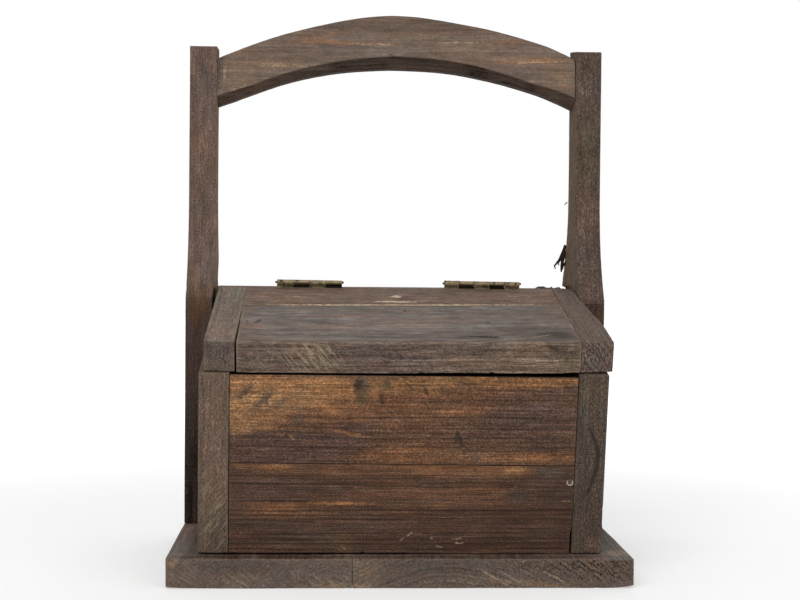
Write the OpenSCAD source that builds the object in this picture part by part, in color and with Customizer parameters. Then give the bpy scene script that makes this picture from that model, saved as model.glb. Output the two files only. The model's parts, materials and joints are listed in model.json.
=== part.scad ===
// Kindling box: a slant-lidded bin on a plinth of two planks, with two posts
// and an arched bar to carry it by. Millimetres, +Z up, front towards -Y.
// The origin is on the floor, under the middle of the whole object.
// Inside the modules the box frame is used: y = 0 is the front of the bin.

/* [Base] */
// How far the base ends short of the posts' outer faces
base_in = 1; // [-12:0.5:4]
// Thickness of the base planks
base_t = 26; // [18:1:40]
// How far the base stands out in front of the bin
base_front = 19; // [5:1:21]
// How far the base stands out behind the bin
base_back = 7; // [3:1:21]
// Width of the left plank
base_seam = 158; // [90:1:300]

/* [Bin] */
// Width across the outer faces of the two sides
box_w = 354; // [300:1:400]
// Depth of the sides from front to back
box_d = 238; // [238:1:270]
// Height of the sides above the base at the front
front_h = 156.5; // [120:0.5:170]
// Thickness of the sides
side_t = 26.5; // [18:0.5:32]
// Thickness of the front and back boards
panel_t = 22; // [16:0.5:26]
// How far the front and back boards lie behind the sides' ends
panel_inset = 0.8; // [0:0.1:4]
// Height of the lower front and back boards
lower_board_h = 78; // [50:1:100]
// How far the front board stops below the sides' front corners
front_drop = 2.5; // [0.5:0.5:8]

/* [Lid] */
// Slope of the lid from the horizontal, in degrees
lid_slope = 14.1; // [8:0.1:18]
// Thickness of the lid
lid_t = 26.7; // [18:0.1:30]
// How far the lid reaches back from the front of the bin
lid_reach = 173; // [150:1:180]
// How far the lid's lower front edge lies behind the front of the bin
lid_inset = 2.5; // [0:0.5:10]
// Length of the front lid board along the slope
lid_front_board = 120.5; // [60:0.5:135]
// How far the lid stops short of the left side's outer face
lid_in_left = 4.5; // [1:0.5:10]
// How far the lid stands out past the right side's outer face
lid_over_right = 6; // [1:0.5:10]
// Width of the left batten
batten_left_w = 27; // [20:0.5:60]
// Width of the right batten
batten_right_w = 28; // [20:0.5:60]
// Distance behind the front where the right batten starts to be trimmed
trim_from = 45; // [20:1:80]
// Distance behind the front where the trim has passed the post
trim_to = 140; // [110:1:143]
// Radius of the lid's rounded back right corner
lid_corner_r = 12; // [4:0.5:18]

/* [Posts] */
// Thickness of the posts across the object
post_t = 25.5; // [16:0.5:26]
// Height of the posts above the base
post_h = 462.5; // [440:0.5:500]
// Distance from the front of the bin to the foot of the post
foot_front = 150; // [147:1:160]
// Depth of the post's foot from front to back
foot_d = 90; // [70:1:94]
// Height of the foot's shoulder above the base
foot_h = 218; // [120:1:230]
// Depth of the post's neck, above the curve
neck_d = 28; // [20:1:44]
// Height of the curve between the foot and the neck
curve_h = 100; // [60:1:120]

/* [Handle bar] */
// Thickness of the bar from front to back
bar_t = 26; // [16:1:28]
// Height of the bar's crown above the base
bar_top = 495.5; // [490:0.5:530]
// Height of the bar at its crown, from underside to top
bar_h = 52; // [36:1:64]
// Rise of the bar's top from its ends to the crown
bar_rise = 45; // [20:1:60]
// Rise of the bar's underside from its ends to the crown
bar_under_rise = 39; // [20:1:60]
// Depth of the bevel along the bar's lower front edge
bar_bevel = 9; // [2:0.5:14]

/* [Hinges] */
// Length of the left hinge
hinge_left_len = 63.5; // [50:0.5:90]
// Length of the right hinge
hinge_right_len = 74; // [50:0.5:90]
// Distance from the middle of the box to the left hinge's middle
hinge_left_at = 84; // [60:1:100]
// Distance from the middle of the box to the right hinge's middle
hinge_right_at = 85; // [60:1:100]
// Knuckles of the left hinge
knuckles_left = 4; // [3:1:6]
// Knuckles of the right hinge
knuckles_right = 5; // [3:1:6]
// Radius of the hinge barrel
barrel_r = 2.3; // [2:0.1:3]
// Radius of the hinge pin
hinge_pin_r = 1.1; // [0.8:0.1:1.3]
// How far the pin stands out past each end of the barrel
pin_out = 1.6; // [0.5:0.1:3]
// Thickness of the hinge leaves
leaf_t = 1; // [0.8:0.1:1.4]
// Height of the leaves below the lid's top
leaf_h = 18; // [12:0.5:20]
// Height of the hinge axis above the lid's top
barrel_lift = 4.9; // [3.2:0.1:8]

/* [Nails and screws] */
// Diameter of the nails
nail_d = 2.6; // [1.6:0.1:3.4]
// Diameter of the nail heads
nail_head_d = 6; // [4.4:0.1:8]
// Length of the nails
nail_len = 46; // [38:1:50]
// Diameter of the wood screws
screw_d = 4; // [3:0.1:4.6]
// Diameter of the wood screws' heads
screw_head_d = 8; // [6:0.1:9]
// Length of the wood screws
screw_len = 42; // [34:1:45]
// Diameter of the hinge screws
hinge_screw_d = 2.8; // [2:0.1:3.2]
// Diameter of the hinge screws' heads
hinge_screw_head_d = 5.6; // [4.4:0.1:6.4]
// Length of the hinge screws
hinge_screw_len = 16; // [10:1:20]
// Diameter of the tacks' heads
tack_head_d = 5; // [3:0.5:6]
// Length of the tacks
tack_len = 12; // [6:1:16]
// Distance of the nails from the edges of the boards that they hold
nail_edge = 22; // [10:1:24]
// Distance of the post screws from the edges of the foot
post_screw_edge = 20; // [10:1:30]
// Height of the lower post screws above the base
post_screw_low = 44; // [30:1:60]
// Height of the upper post screws above the base
post_screw_high = 131; // [80:1:140]
// Distance between the two screws in each end of the bar
bar_screw_pitch = 19; // [10:1:24]
// Distance of the first wall screws behind the front of the bin
wall_screw_front = 36; // [20:1:60]
// Distance of the board screws from the middle of the box
board_screw_at = 90; // [40:1:110]
// Distance of the outer hinge screws from the ends of the leaf
leaf_screw_edge = 9; // [6:0.5:14]
// Depth of the outer hinge screws below the lid's top
leaf_screw_depth = 7; // [5:0.5:9]
// Extra depth of the middle hinge screw
leaf_screw_stagger = 5; // [0:0.5:6]
// Distance of the front tack from the right end of its board
front_tack_edge = 4.5; // [4:0.5:20]
// Height of the front tack above the base
front_tack_h = 62.5; // [61:0.5:70]
// Distance of the post tack from the post's outer face
post_tack_edge = 4; // [4:0.5:20]
// Height of the post tack above the base
post_tack_h = 30; // [20:1:34]

/* [Clearances] */
// Gap between boards of the same assembly that lie edge to edge
seam = 0.4; // [0.2:0.1:0.8]
// Gap under the closed lid
lid_gap = 0.4; // [0.3:0.1:1]
// Gap between the lid and the post on the right
post_gap = 0.8; // [0.5:0.1:2]
// Gap between the two closed leaves of a hinge
leaf_gap = 0.4; // [0.3:0.1:0.8]
// Play around each knuckle
knuckle_play = 0.35; // [0.3:0.05:0.6]
// Radial clearance of a hinge pin in its knuckles
pin_fit = 0.05; // [0.02:0.01:0.1]
// Radial clearance of a nail or screw in its hole
nail_fit = 0.05; // [0.02:0.01:0.1]
// How far nail and screw heads are sunk below the wood
head_sink = 0.5; // [0.2:0.1:1.5]

/* [Hidden] */
eps = 1;                // overshoot of a cutter past the face it opens
round_fn = 48;          // facets of pins and holes
arc_fn = 360;           // facets of the long arcs
base_w = box_w + 2 * (post_t - base_in);     // width of the base across both planks
base_d = base_front + box_d + base_back;     // depth of the base
front_y = base_front - base_d / 2;           // object frame: front of the bin
// Heights, measured from the floor
side_front_z = base_t + front_h;
front_top_z = side_front_z - front_drop;
lid_rise = tan(lid_slope);
lid_z = side_front_z + lid_gap / cos(lid_slope);  // lid's underside above y = 0
lid_top_z = lid_z + lid_t / cos(lid_slope);       // lid's top plane above y = 0
rail_top_z = lid_top_z + lid_rise * lid_reach;
// Bin
half_w = box_w / 2;
inner_half_w = half_w - side_t;
front_panel_y = panel_inset + panel_t / 2;
back_panel_y = box_d - panel_inset - panel_t / 2;
// Hinge rail and axis
rail_y = lid_reach + 2 * leaf_t + leaf_gap;
rail_t = lid_t;
rail_z = rail_top_z - rail_t;
axis_y = lid_reach + leaf_t + leaf_gap / 2;
axis_z = rail_top_z + barrel_lift;
side_knee_y = (rail_z - side_front_z) / lid_rise;
// Lid
lid_left_x = -half_w + lid_in_left;
lid_right_x = half_w + lid_over_right;
lid_trim_x = half_w - post_gap;
lid_front_u = lid_inset / cos(lid_slope);
lid_seam_u = lid_front_u + lid_front_board;
lid_back_u = lid_reach / cos(lid_slope);
lid_far_u = lid_back_u + lid_t;   // beyond the back end, before it is cut upright
board_left_x = lid_left_x + batten_left_w + seam;
board_right_x = lid_right_x - batten_right_w - seam;
// Posts
foot_top_z = base_t + foot_h;
post_mid_y = foot_front + foot_d / 2;
neck_front = post_mid_y - neck_d / 2;
curve_run = (foot_d - neck_d) / 2;
curve_r = (curve_h * curve_h + curve_run * curve_run) / (2 * curve_run);
// Bar: two arcs over the span between the posts
crown_z = base_t + bar_top;
under_z = crown_z - bar_h;
bar_top_r = (half_w * half_w + bar_rise * bar_rise) / (2 * bar_rise);
bar_under_r = (half_w * half_w + bar_under_rise * bar_under_rise) / (2 * bar_under_rise);
bar_front = post_mid_y - bar_t / 2;
bar_end_z = (crown_z - bar_rise + under_z - bar_under_rise) / 2;
// Nails and screws
nail_head_h = 1.2;
slot_w = 0.9;
slot_depth = 0.6;
tip_h = 3;
head_cone = 0.55;       // height of a screw's head, as a share of its spread
tip_share = 0.25;       // blunt end of a point, as a share of the shank
hinge_lens = [hinge_left_len, hinge_right_len];
hinge_xs = [-hinge_left_at - hinge_left_len / 2, hinge_right_at - hinge_right_len / 2];
knuckle_counts = [knuckles_left, knuckles_right];
panel_tint = [0.36, 0.22, 0.15];

// Places of the nails and screws, in the box frame
wall_screw_ys = [wall_screw_front, box_d / 2, post_mid_y];
base_screw_at = concat(
  [for (s = [-1, 1]) for (y = wall_screw_ys) [s * (half_w - side_t / 2), y]],
  [for (s = [-1, 1]) for (y = [front_panel_y, back_panel_y]) [s * board_screw_at, y]],
  [for (s = [-1, 1]) [s * (half_w + post_t / 2), post_mid_y]]);
upper_board_z = base_t + lower_board_h + seam;
lower_nail_zs = [base_t + nail_edge, base_t + lower_board_h - nail_edge];
side_nail_at = concat(
  [for (z = concat(lower_nail_zs, [upper_board_z + nail_edge, front_top_z - nail_edge]))
    [front_panel_y, z]],
  [for (z = concat(lower_nail_zs, [upper_board_z + nail_edge, rail_z - nail_edge]))
    [back_panel_y, z]]);
post_screw_at = [for (y = [foot_front + post_screw_edge, foot_front + foot_d - post_screw_edge])
  for (h = [post_screw_low, post_screw_high]) [y, base_t + h]];
bar_screw_at = [for (s = [-1, 1]) [post_mid_y, bar_end_z + s * bar_screw_pitch / 2]];
rail_nail_at = [for (s = [-1, 1])
  for (p = [[half_w - side_t / 2, rail_y + nail_edge], [board_screw_at, back_panel_y]])
    [s * p[0], p[1]]];
lid_nail_us = [lid_front_u + nail_edge, lid_seam_u - nail_edge, (lid_seam_u + lid_back_u) / 2];

// ---------- helpers ----------

// Moves what is drawn in the box frame to the object's own frame
module placed() { translate([0, front_y, 0]) children(); }

// Block between two corners
module block(a, b) { translate(a) cube(b - a); }

// Side outline [y, z] carried along X from x0 to x1
module along_x(x0, x1) {
  translate([x0, 0, 0]) rotate([90, 0, 90]) linear_extrude(x1 - x0) children();
}

// Point of the lid's side outline: u along the underside, n square to it
function lid_point(u, n) = [u * cos(lid_slope) - n * sin(lid_slope),
  lid_z + u * sin(lid_slope) + n * cos(lid_slope)];

// Turns the +Z of what it holds towards the inside, from the side s (-1 or 1)
module inward(s, at) { translate(at) rotate([0, -90 * s, 0]) children(); }

// x of the right batten's outer edge at the depth y
function lid_edge_x(y) = y < trim_from ? lid_right_x
  : y > trim_to ? lid_trim_x
  : lid_right_x - (lid_right_x - lid_trim_x) * (y - trim_from) / (trim_to - trim_from);

// ---------- nails and screws: the head at z = 0, the shank along +Z ----------

module nail(len, d = nail_d, head_d = nail_head_d) {
  color("dimgray") translate([0, 0, head_sink]) {
    cylinder(h = nail_head_h, d = head_d, $fn = round_fn);
    cylinder(h = len - tip_h, d = d, $fn = round_fn);
    translate([0, 0, len - tip_h]) cylinder(h = tip_h, d1 = d, d2 = d * tip_share, $fn = round_fn);
  }
}

module nail_hole(len, d = nail_d, head_d = nail_head_d) {
  pocket = eps + head_sink + nail_head_h;
  translate([0, 0, -eps]) cylinder(h = pocket, d = head_d + 2 * nail_fit, $fn = round_fn);
  cylinder(h = head_sink + len, d = d + 2 * nail_fit, $fn = round_fn);
}

function cone_h(d, head_d) = head_cone * (head_d - d);

module screw(len, d, head_d, sink) {
  color("gray") translate([0, 0, sink]) difference() {
    union() {
      cylinder(h = cone_h(d, head_d), d1 = head_d, d2 = d, $fn = round_fn);
      cylinder(h = len - tip_h, d = d, $fn = round_fn);
      translate([0, 0, len - tip_h]) cylinder(h = tip_h, d1 = d, d2 = d * tip_share, $fn = round_fn);
    }
    block([-head_d, -slot_w / 2, -eps], [head_d, slot_w / 2, slot_depth]);
  }
}

module screw_hole(len, d, head_d, sink) {
  wide = head_d + 2 * nail_fit;
  narrow = d + 2 * nail_fit;
  translate([0, 0, -eps]) cylinder(h = eps + sink, d = wide, $fn = round_fn);
  translate([0, 0, sink]) cylinder(h = cone_h(d, head_d), d1 = wide, d2 = narrow, $fn = round_fn);
  cylinder(h = sink + len, d = narrow, $fn = round_fn);
}

module wood_screw() { screw(screw_len, screw_d, screw_head_d, head_sink); }
module wood_screw_hole() { screw_hole(screw_len, screw_d, screw_head_d, head_sink); }
module leaf_screw() { screw(hinge_screw_len, hinge_screw_d, hinge_screw_head_d, 0); }
module leaf_screw_hole() { screw_hole(hinge_screw_len, hinge_screw_d, hinge_screw_head_d, 0); }

module at_base_screws() {
  for (p = base_screw_at) translate([p[0], p[1], 0]) children();
}
module at_side_nails(s) {
  for (p = side_nail_at) inward(s, [s * half_w, p[0], p[1]]) children();
}
module at_post_screws(s) {
  for (p = post_screw_at) inward(s, [s * (half_w + post_t), p[0], p[1]]) children();
}
module at_handle_screws(s) {
  for (p = bar_screw_at) inward(s, [s * (half_w + post_t), p[0], p[1]]) children();
}
module at_rail_nails() {
  for (p = rail_nail_at) translate([p[0], p[1], rail_top_z]) rotate([180, 0, 0]) children();
}
module at_lid_nails(s) {
  for (u = lid_nail_us) {
    p = lid_point(u, lid_t / 2);
    inward(s, [s < 0 ? lid_left_x : lid_edge_x(p[0]), p[0], p[1]]) children();
  }
}
module at_front_tack() {
  translate([inner_half_w - front_tack_edge, panel_inset, base_t + front_tack_h])
    rotate([-90, 0, 0]) children();
}
module at_post_tack() {
  translate([-half_w - post_t + post_tack_edge, foot_front, base_t + post_tack_h])
    rotate([-90, 0, 0]) children();
}
// Screws of hinge i: towards -Y into the lid (s = -1) or +Y into the rail (s = 1)
module at_leaf_screws(i, s) {
  len = hinge_lens[i];
  for (p = [[leaf_screw_edge, 0], [len / 2, leaf_screw_stagger], [len - leaf_screw_edge, 0]])
    translate([hinge_xs[i] + p[0], axis_y + s * leaf_gap / 2,
      rail_top_z - leaf_screw_depth - p[1]]) rotate([-90 * s, 0, 0]) children();
}

// ---------- base ----------

module base_plank(x0, x1) {
  color([0.36, 0.31, 0.27]) difference() {
    block([x0, -base_front, 0], [x1, base_d - base_front, base_t]);
    at_base_screws() wood_screw_hole();
  }
}
module base_board_left() { base_plank(-base_w / 2, -base_w / 2 + base_seam - seam / 2); }
module base_board_right() { base_plank(-base_w / 2 + base_seam + seam / 2, base_w / 2); }

// ---------- bin ----------

module side_board(s) {
  color([0.38, 0.33, 0.29]) difference() {
    along_x(s < 0 ? -half_w : inner_half_w, s < 0 ? -inner_half_w : half_w)
      polygon([[0, base_t], [box_d, base_t], [box_d, rail_z], [side_knee_y, rail_z],
        [0, side_front_z]]);
    at_base_screws() wood_screw_hole();
    at_side_nails(s) nail_hole(nail_len);
    at_post_screws(s) wood_screw_hole();
    at_rail_nails() nail_hole(nail_len);
  }
}

module panel_board(y_mid, z0, z1, tint) {
  w = inner_half_w - seam / 2;
  color(tint) difference() {
    block([-w, y_mid - panel_t / 2, z0], [w, y_mid + panel_t / 2, z1]);
    at_base_screws() wood_screw_hole();
    for (s = [-1, 1]) at_side_nails(s) nail_hole(nail_len);
    at_rail_nails() nail_hole(nail_len);
    at_front_tack() nail_hole(tack_len, head_d = tack_head_d);
  }
}
module front_board_lower() {
  panel_board(front_panel_y, base_t, base_t + lower_board_h, panel_tint);
}
module front_board_upper() {
  panel_board(front_panel_y, upper_board_z, front_top_z, panel_tint);
}
module back_board_lower() {
  panel_board(back_panel_y, base_t, base_t + lower_board_h, panel_tint);
}
module back_board_upper() {
  panel_board(back_panel_y, upper_board_z, rail_z, panel_tint);
}

module hinge_rail() {
  color([0.4, 0.33, 0.28]) difference() {
    block([-half_w + seam, rail_y, rail_z], [half_w - seam, box_d, rail_top_z]);
    at_rail_nails() nail_hole(nail_len);
    for (i = [0, 1]) at_leaf_screws(i, 1) leaf_screw_hole();
  }
}

// ---------- posts and bar ----------

// Side outline of a post: a broad foot, a hollow curve on both sides, a neck
module post_outline() {
  difference() {
    union() {
      translate([foot_front, base_t]) square([foot_d, foot_h + curve_h]);
      translate([neck_front, base_t]) square([neck_d, post_h]);
    }
    for (m = [0, 1]) translate([post_mid_y, 0]) mirror([m, 0]) {
      translate([neck_d / 2 + curve_r, foot_top_z + curve_h]) circle(curve_r, $fn = arc_fn);
    }
  }
}

module post(s) {
  x = s < 0 ? -half_w - post_t : half_w;
  color([0.4, 0.35, 0.31]) difference() {
    along_x(x, x + post_t) post_outline();
    at_base_screws() wood_screw_hole();
    at_post_screws(s) wood_screw_hole();
    at_handle_screws(s) wood_screw_hole();
    at_post_tack() nail_hole(tack_len, head_d = tack_head_d);
  }
}

module handle_bar() {
  color([0.45, 0.36, 0.29]) difference() {
    intersection() {
      block([-half_w, bar_front, foot_top_z], [half_w, bar_front + bar_t, crown_z + eps]);
      translate([0, bar_front + bar_t + eps, crown_z - bar_top_r])
        rotate([90, 0, 0]) cylinder(h = bar_t + 2 * eps, r = bar_top_r, $fn = arc_fn);
    }
    translate([0, bar_front + bar_t + eps, under_z - bar_under_r]) rotate([90, 0, 0])
      cylinder(h = bar_t + 2 * eps, r = bar_under_r, $fn = arc_fn);
    translate([0, bar_front - eps, under_z - bar_under_r]) rotate([-90, 0, 0])
      cylinder(h = bar_bevel + eps, r1 = bar_under_r + bar_bevel + eps, r2 = bar_under_r,
        $fn = arc_fn);
    for (s = [-1, 1]) at_handle_screws(s) wood_screw_hole();
  }
}

// ---------- lid ----------

// Side outline of the lid between two places along its underside. The back
// end is cut upright, so that the closed leaves lie flat against the rail.
module lid_outline(u0, u1) {
  intersection() {
    polygon([lid_point(u0, 0), lid_point(u1, 0), lid_point(u1, lid_t), lid_point(u0, lid_t)]);
    translate([-lid_reach, 0]) square([2 * lid_reach, rail_top_z + lid_t]);
  }
}

module lid_board(u0, u1) {
  color([0.41, 0.37, 0.33]) difference() {
    along_x(board_left_x, board_right_x) lid_outline(u0, u1);
    for (s = [-1, 1]) at_lid_nails(s) nail_hole(nail_len);
    for (i = [0, 1]) at_leaf_screws(i, -1) leaf_screw_hole();
  }
}
module lid_board_front() { lid_board(lid_front_u, lid_seam_u); }
module lid_board_back() { lid_board(lid_seam_u + seam, lid_far_u); }

module lid_batten_left() {
  color([0.4, 0.35, 0.31]) difference() {
    along_x(lid_left_x, lid_left_x + batten_left_w) lid_outline(lid_front_u, lid_far_u);
    at_lid_nails(-1) nail_hole(nail_len);
  }
}

// Outline of the right batten from above: trimmed to pass the post, its
// back corner rounded off
module batten_right_plan() {
  x0 = lid_right_x - batten_right_w;
  r = lid_corner_r;
  intersection() {
    union() {
      difference() {
        polygon([[x0, -lid_t], [lid_right_x, -lid_t], [lid_right_x, trim_from],
          [lid_trim_x, trim_to], [lid_trim_x, lid_reach], [x0, lid_reach]]);
        translate([lid_trim_x - r, lid_reach - r]) square(r + eps);
      }
      translate([lid_trim_x - r, lid_reach - r]) circle(r, $fn = round_fn);
    }
    translate([x0, -lid_t]) square([batten_right_w, lid_reach + lid_t]);
  }
}

module lid_batten_right() {
  color([0.4, 0.35, 0.31]) difference() {
    intersection() {
      along_x(lid_right_x - batten_right_w, lid_right_x) lid_outline(lid_front_u, lid_far_u);
      linear_extrude(rail_top_z + lid_t) batten_right_plan();
    }
    at_lid_nails(1) nail_hole(nail_len);
  }
}

// ---------- hinges ----------

// Bar of round section along X, on the hinge axis, from a to b
module on_axis(a, b, r) {
  translate([a, axis_y, axis_z]) rotate([0, 90, 0]) cylinder(h = b - a, r = r, $fn = round_fn);
}

// Leaf of hinge i: s = -1 on the lid with the even knuckles, s = 1 on the
// rail with the odd ones
module leaf(i, s) {
  n = knuckle_counts[i];
  pitch = hinge_lens[i] / n;
  x0 = hinge_xs[i];
  own = s < 0 ? 0 : 1;
  face = axis_y + s * leaf_gap / 2;
  r = barrel_r;
  color([0.43, 0.38, 0.22]) difference() {
    union() {
      difference() {
        block([x0, min(face, face + s * leaf_t), axis_z - barrel_lift - leaf_h],
          [x0 + hinge_lens[i], max(face, face + s * leaf_t), axis_z]);
        for (k = [1 - own : 2 : n - 1])
          block([x0 + k * pitch - knuckle_play, axis_y - 2 * r, axis_z - r - knuckle_play],
            [x0 + (k + 1) * pitch + knuckle_play, axis_y + 2 * r, axis_z + r]);
      }
      for (k = [own : 2 : n - 1])
        on_axis(x0 + k * pitch + knuckle_play / 2, x0 + (k + 1) * pitch - knuckle_play / 2, r);
    }
    on_axis(x0 - eps, x0 + hinge_lens[i] + eps, hinge_pin_r + pin_fit);
    at_leaf_screws(i, s) leaf_screw_hole();
  }
}

module hinge_pin(i) {
  x0 = hinge_xs[i] - pin_out;
  x1 = hinge_xs[i] + hinge_lens[i] + pin_out;
  color([0.2, 0.18, 0.14]) on_axis(x0, x1, hinge_pin_r);
}

placed() base_board_left();
placed() base_board_right();
placed() side_board(-1);  // side_board_left
placed() side_board(1);  // side_board_right
placed() front_board_lower();
placed() front_board_upper();
placed() back_board_lower();
placed() back_board_upper();
placed() hinge_rail();
placed() post(-1);  // upright_left
placed() post(1);  // upright_right
placed() handle_bar();
placed() lid_batten_left();
placed() lid_batten_right();
placed() lid_board_front();
placed() lid_board_back();
placed() leaf(0, -1);  // hinge_left_lid_leaf
placed() leaf(0, 1);  // hinge_left_box_leaf
placed() hinge_pin(0);  // hinge_left_pin
placed() leaf(1, -1);  // hinge_right_lid_leaf
placed() leaf(1, 1);  // hinge_right_box_leaf
placed() hinge_pin(1);  // hinge_right_pin
placed() at_leaf_screws(0, -1) leaf_screw();  // hinge_left_lid_screws
placed() at_leaf_screws(0, 1) leaf_screw();  // hinge_left_box_screws
placed() at_leaf_screws(1, -1) leaf_screw();  // hinge_right_lid_screws
placed() at_leaf_screws(1, 1) leaf_screw();  // hinge_right_box_screws
placed() at_base_screws() wood_screw();  // base_screws
placed() at_side_nails(-1) nail(nail_len);  // side_nails_left
placed() at_side_nails(1) nail(nail_len);  // side_nails_right
placed() at_post_screws(-1) wood_screw();  // post_screws_left
placed() at_post_screws(1) wood_screw();  // post_screws_right
placed() at_handle_screws(-1) wood_screw();  // handle_screws_left
placed() at_handle_screws(1) wood_screw();  // handle_screws_right
placed() at_rail_nails() nail(nail_len);  // rail_nails
placed() at_lid_nails(-1) nail(nail_len);  // lid_nails_left
placed() at_lid_nails(1) nail(nail_len);  // lid_nails_right
placed() at_front_tack() nail(tack_len, head_d = tack_head_d);  // front_tack
placed() at_post_tack() nail(tack_len, head_d = tack_head_d);  // post_tack
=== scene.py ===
import json
import math
from functools import partial

import bpy
import numpy as np
from mathutils import Matrix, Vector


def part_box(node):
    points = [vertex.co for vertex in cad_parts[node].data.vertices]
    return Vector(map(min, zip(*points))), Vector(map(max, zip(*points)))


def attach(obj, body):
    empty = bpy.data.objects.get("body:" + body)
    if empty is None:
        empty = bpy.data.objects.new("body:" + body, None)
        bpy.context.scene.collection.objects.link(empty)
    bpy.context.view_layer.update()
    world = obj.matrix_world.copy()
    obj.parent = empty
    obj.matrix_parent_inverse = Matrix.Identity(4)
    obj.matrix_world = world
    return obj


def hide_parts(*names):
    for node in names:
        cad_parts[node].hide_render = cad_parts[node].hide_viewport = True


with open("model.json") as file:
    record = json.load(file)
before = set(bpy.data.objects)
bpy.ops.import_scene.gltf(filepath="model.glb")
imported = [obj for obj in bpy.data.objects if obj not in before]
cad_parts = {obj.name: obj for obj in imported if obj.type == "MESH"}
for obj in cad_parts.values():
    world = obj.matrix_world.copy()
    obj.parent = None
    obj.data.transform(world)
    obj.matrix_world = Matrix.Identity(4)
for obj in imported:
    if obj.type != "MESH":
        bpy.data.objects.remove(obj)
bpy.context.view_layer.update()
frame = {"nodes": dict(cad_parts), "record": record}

# Lengths in the dictionaries are millimetres in the box frame: x from the middle of the box,
# y back from the front of the bin, z up from the floor. The meshes are metres in the CAD frame.

mm = 0.001
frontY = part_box("side_board_left")[0].y / mm


def span(node):
    # lowest and highest corner of a CAD node, in the box frame
    return [np.array(corner) / mm - [0, frontY, 0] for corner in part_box(node)]


def held(value):
    # the value held between 0 and 1
    return np.clip(value, 0, 1)


def unit(v):
    # vectors along the last axis, made one long
    return v / np.linalg.norm(v, axis=-1, keepdims=True)


def perPoint(p, *corners):
    # each corner repeated for every point
    return [np.tile(corner, (len(p), 1)) for corner in corners]


def moved(p, x=0.0, y=0.0, z=0.0):
    # the points moved by these amounts, each one number or one for every point
    return p + np.stack(np.broadcast_arrays(x, y, z, p[:, 0])[:3], axis=1)


# shapes

wood = {
    "bands": (0, 0.35, 0.8, 1.35, 2.1, 3.2),  # rows beside each arris, before the even steps
    "arris": 1.0,                             # radius that every arris is worn to
    "arrisShare": 0.42,                       # and the most of a board's thickness that it may be
    "arrisSpread": 0.35,                      # how much that radius varies, as a share
    "arrisCells": (23, 7, 2.6),               # its noises: slow changes, chips and fine changes
    "chip": 3.0,                              # how much further the worst chips reach
    "chipFrom": 0.5,                          # noise level above which an arris is chipped
    "grainRelief": 0.10, "grainCells": (60, 1.3, 1.3),   # height of the raised grain, and its noise
    "bow": 0.22, "bowCells": (120, 30, 30),   # slow waves of a hand-planed face, and their noise
    "sunk": 0.15,                             # how far the faces lie inside the solid on the whole
    "edgeReach": 1.7,                         # how far the rubbed colour reaches in from an arris
}
paint = {
    "facing": 0.02,                           # nothing is laid on points that face a side less than this
    "cells": (2.5, 13), "seed": 900,          # of the noises that bend small and large spots
    "along": 3.0, "across": 0.45,             # how the large one is stretched along and across the grain
    "ragged": 3.0, "raggedShare": 0.45,       # how far an outline strays at most, and as a share of a spot
    "small": 7, "smallPower": 1.5,            # half width below which a spot is small, and its falling off
    "crackBend": 0.5, "crackStain": 0.9,      # how far a crack strays, and how dark it is
}
markKinds = ("stain", "pale", "saw")
faces = {                                     # the way that each painted side faces, and the axes across it
    "front": ((0, -1, 0), (0, 2)), "back": ((0, 1, 0), (0, 2)), "top": ((0, 0, 1), (0, 1)),
    "leftward": ((-1, 0, 0), (1, 2)), "rightward": ((1, 0, 0), (1, 2)),
    "lidTop": ((0, -0.24, 0.97), (0, 1)), "lidFront": ((0, -0.97, -0.24), (0, 2)),
}


def hashAt(cells, seed):
    # scrambled number from -1 to 1 for each lattice cell: products, shifts and exclusive ors of its indices
    h = (cells @ np.array([73856093, 19349663, 83492791], np.int64)) ^ np.int64(seed * 7919 + 17)
    h = ((h ^ (h >> 13)) * 1274126177) & 0x7FFFFFFF
    h = ((h ^ (h >> 15)) * 668265263) & 0x7FFFFFFF
    return ((h ^ (h >> 16)) & 0xFFFF) / 32767.5 - 1


def noiseAt(points, cell, seed):
    # value noise: random numbers on a lattice, blended along each axis by 3t^2 - 2t^3
    p = points / np.asarray(cell, float)
    low = np.floor(p).astype(np.int64)
    t = p - low
    t = t * t * (3 - 2 * t)
    total = np.zeros(len(p))
    for corner in range(8):
        step = np.array([corner & 1, corner >> 1 & 1, corner >> 2 & 1])
        total += np.prod(np.where(step, t, 1 - t), axis=1) * hashAt(low + step, seed)
    return total


def spaced(low, high, pitch, extra=()):
    # places from low to high: narrow rows at both ends, even steps between, and any extra places
    bands = np.array([b for b in wood["bands"] if b < (high - low) * 0.4])
    inner = bands[-1]
    count = max(2, int(round((high - low - 2 * inner) / pitch)))
    middle = np.linspace(low + inner, high - inner, count + 1)[1:-1]
    return np.unique(np.round(np.concatenate([low + bands, middle, high - bands, extra]), 4))


def sheetQuads(sheet, flip):
    # quads between neighbouring rows and columns of a sheet of vertex numbers
    a, b, c, d = sheet[:-1, :-1], sheet[1:, :-1], sheet[1:, 1:], sheet[:-1, 1:]
    corners = (a, d, c, b) if flip else (a, b, c, d)
    return np.stack([corner.ravel() for corner in corners], axis=1)


def shell(xs, ys, zs):
    # points of a block's surface on the lattice xs by ys by zs, with one vertex where faces meet,
    # and the quads of its six faces, all wound so that they face outwards
    solid = np.ones((len(xs), len(ys), len(zs)), bool)
    solid[1:-1, 1:-1, 1:-1] = False
    number = np.full(solid.shape, -1)
    number[solid] = np.arange(solid.sum())
    points = np.stack(np.meshgrid(xs, ys, zs, indexing="ij"), axis=-1)[solid]
    quads = [
        sheetQuads(number[0], True), sheetQuads(number[-1], False),
        sheetQuads(number[:, 0], False), sheetQuads(number[:, -1], True),
        sheetQuads(number[:, :, 0], True), sheetQuads(number[:, :, -1], False),
    ]
    return points, np.concatenate(quads)


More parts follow.
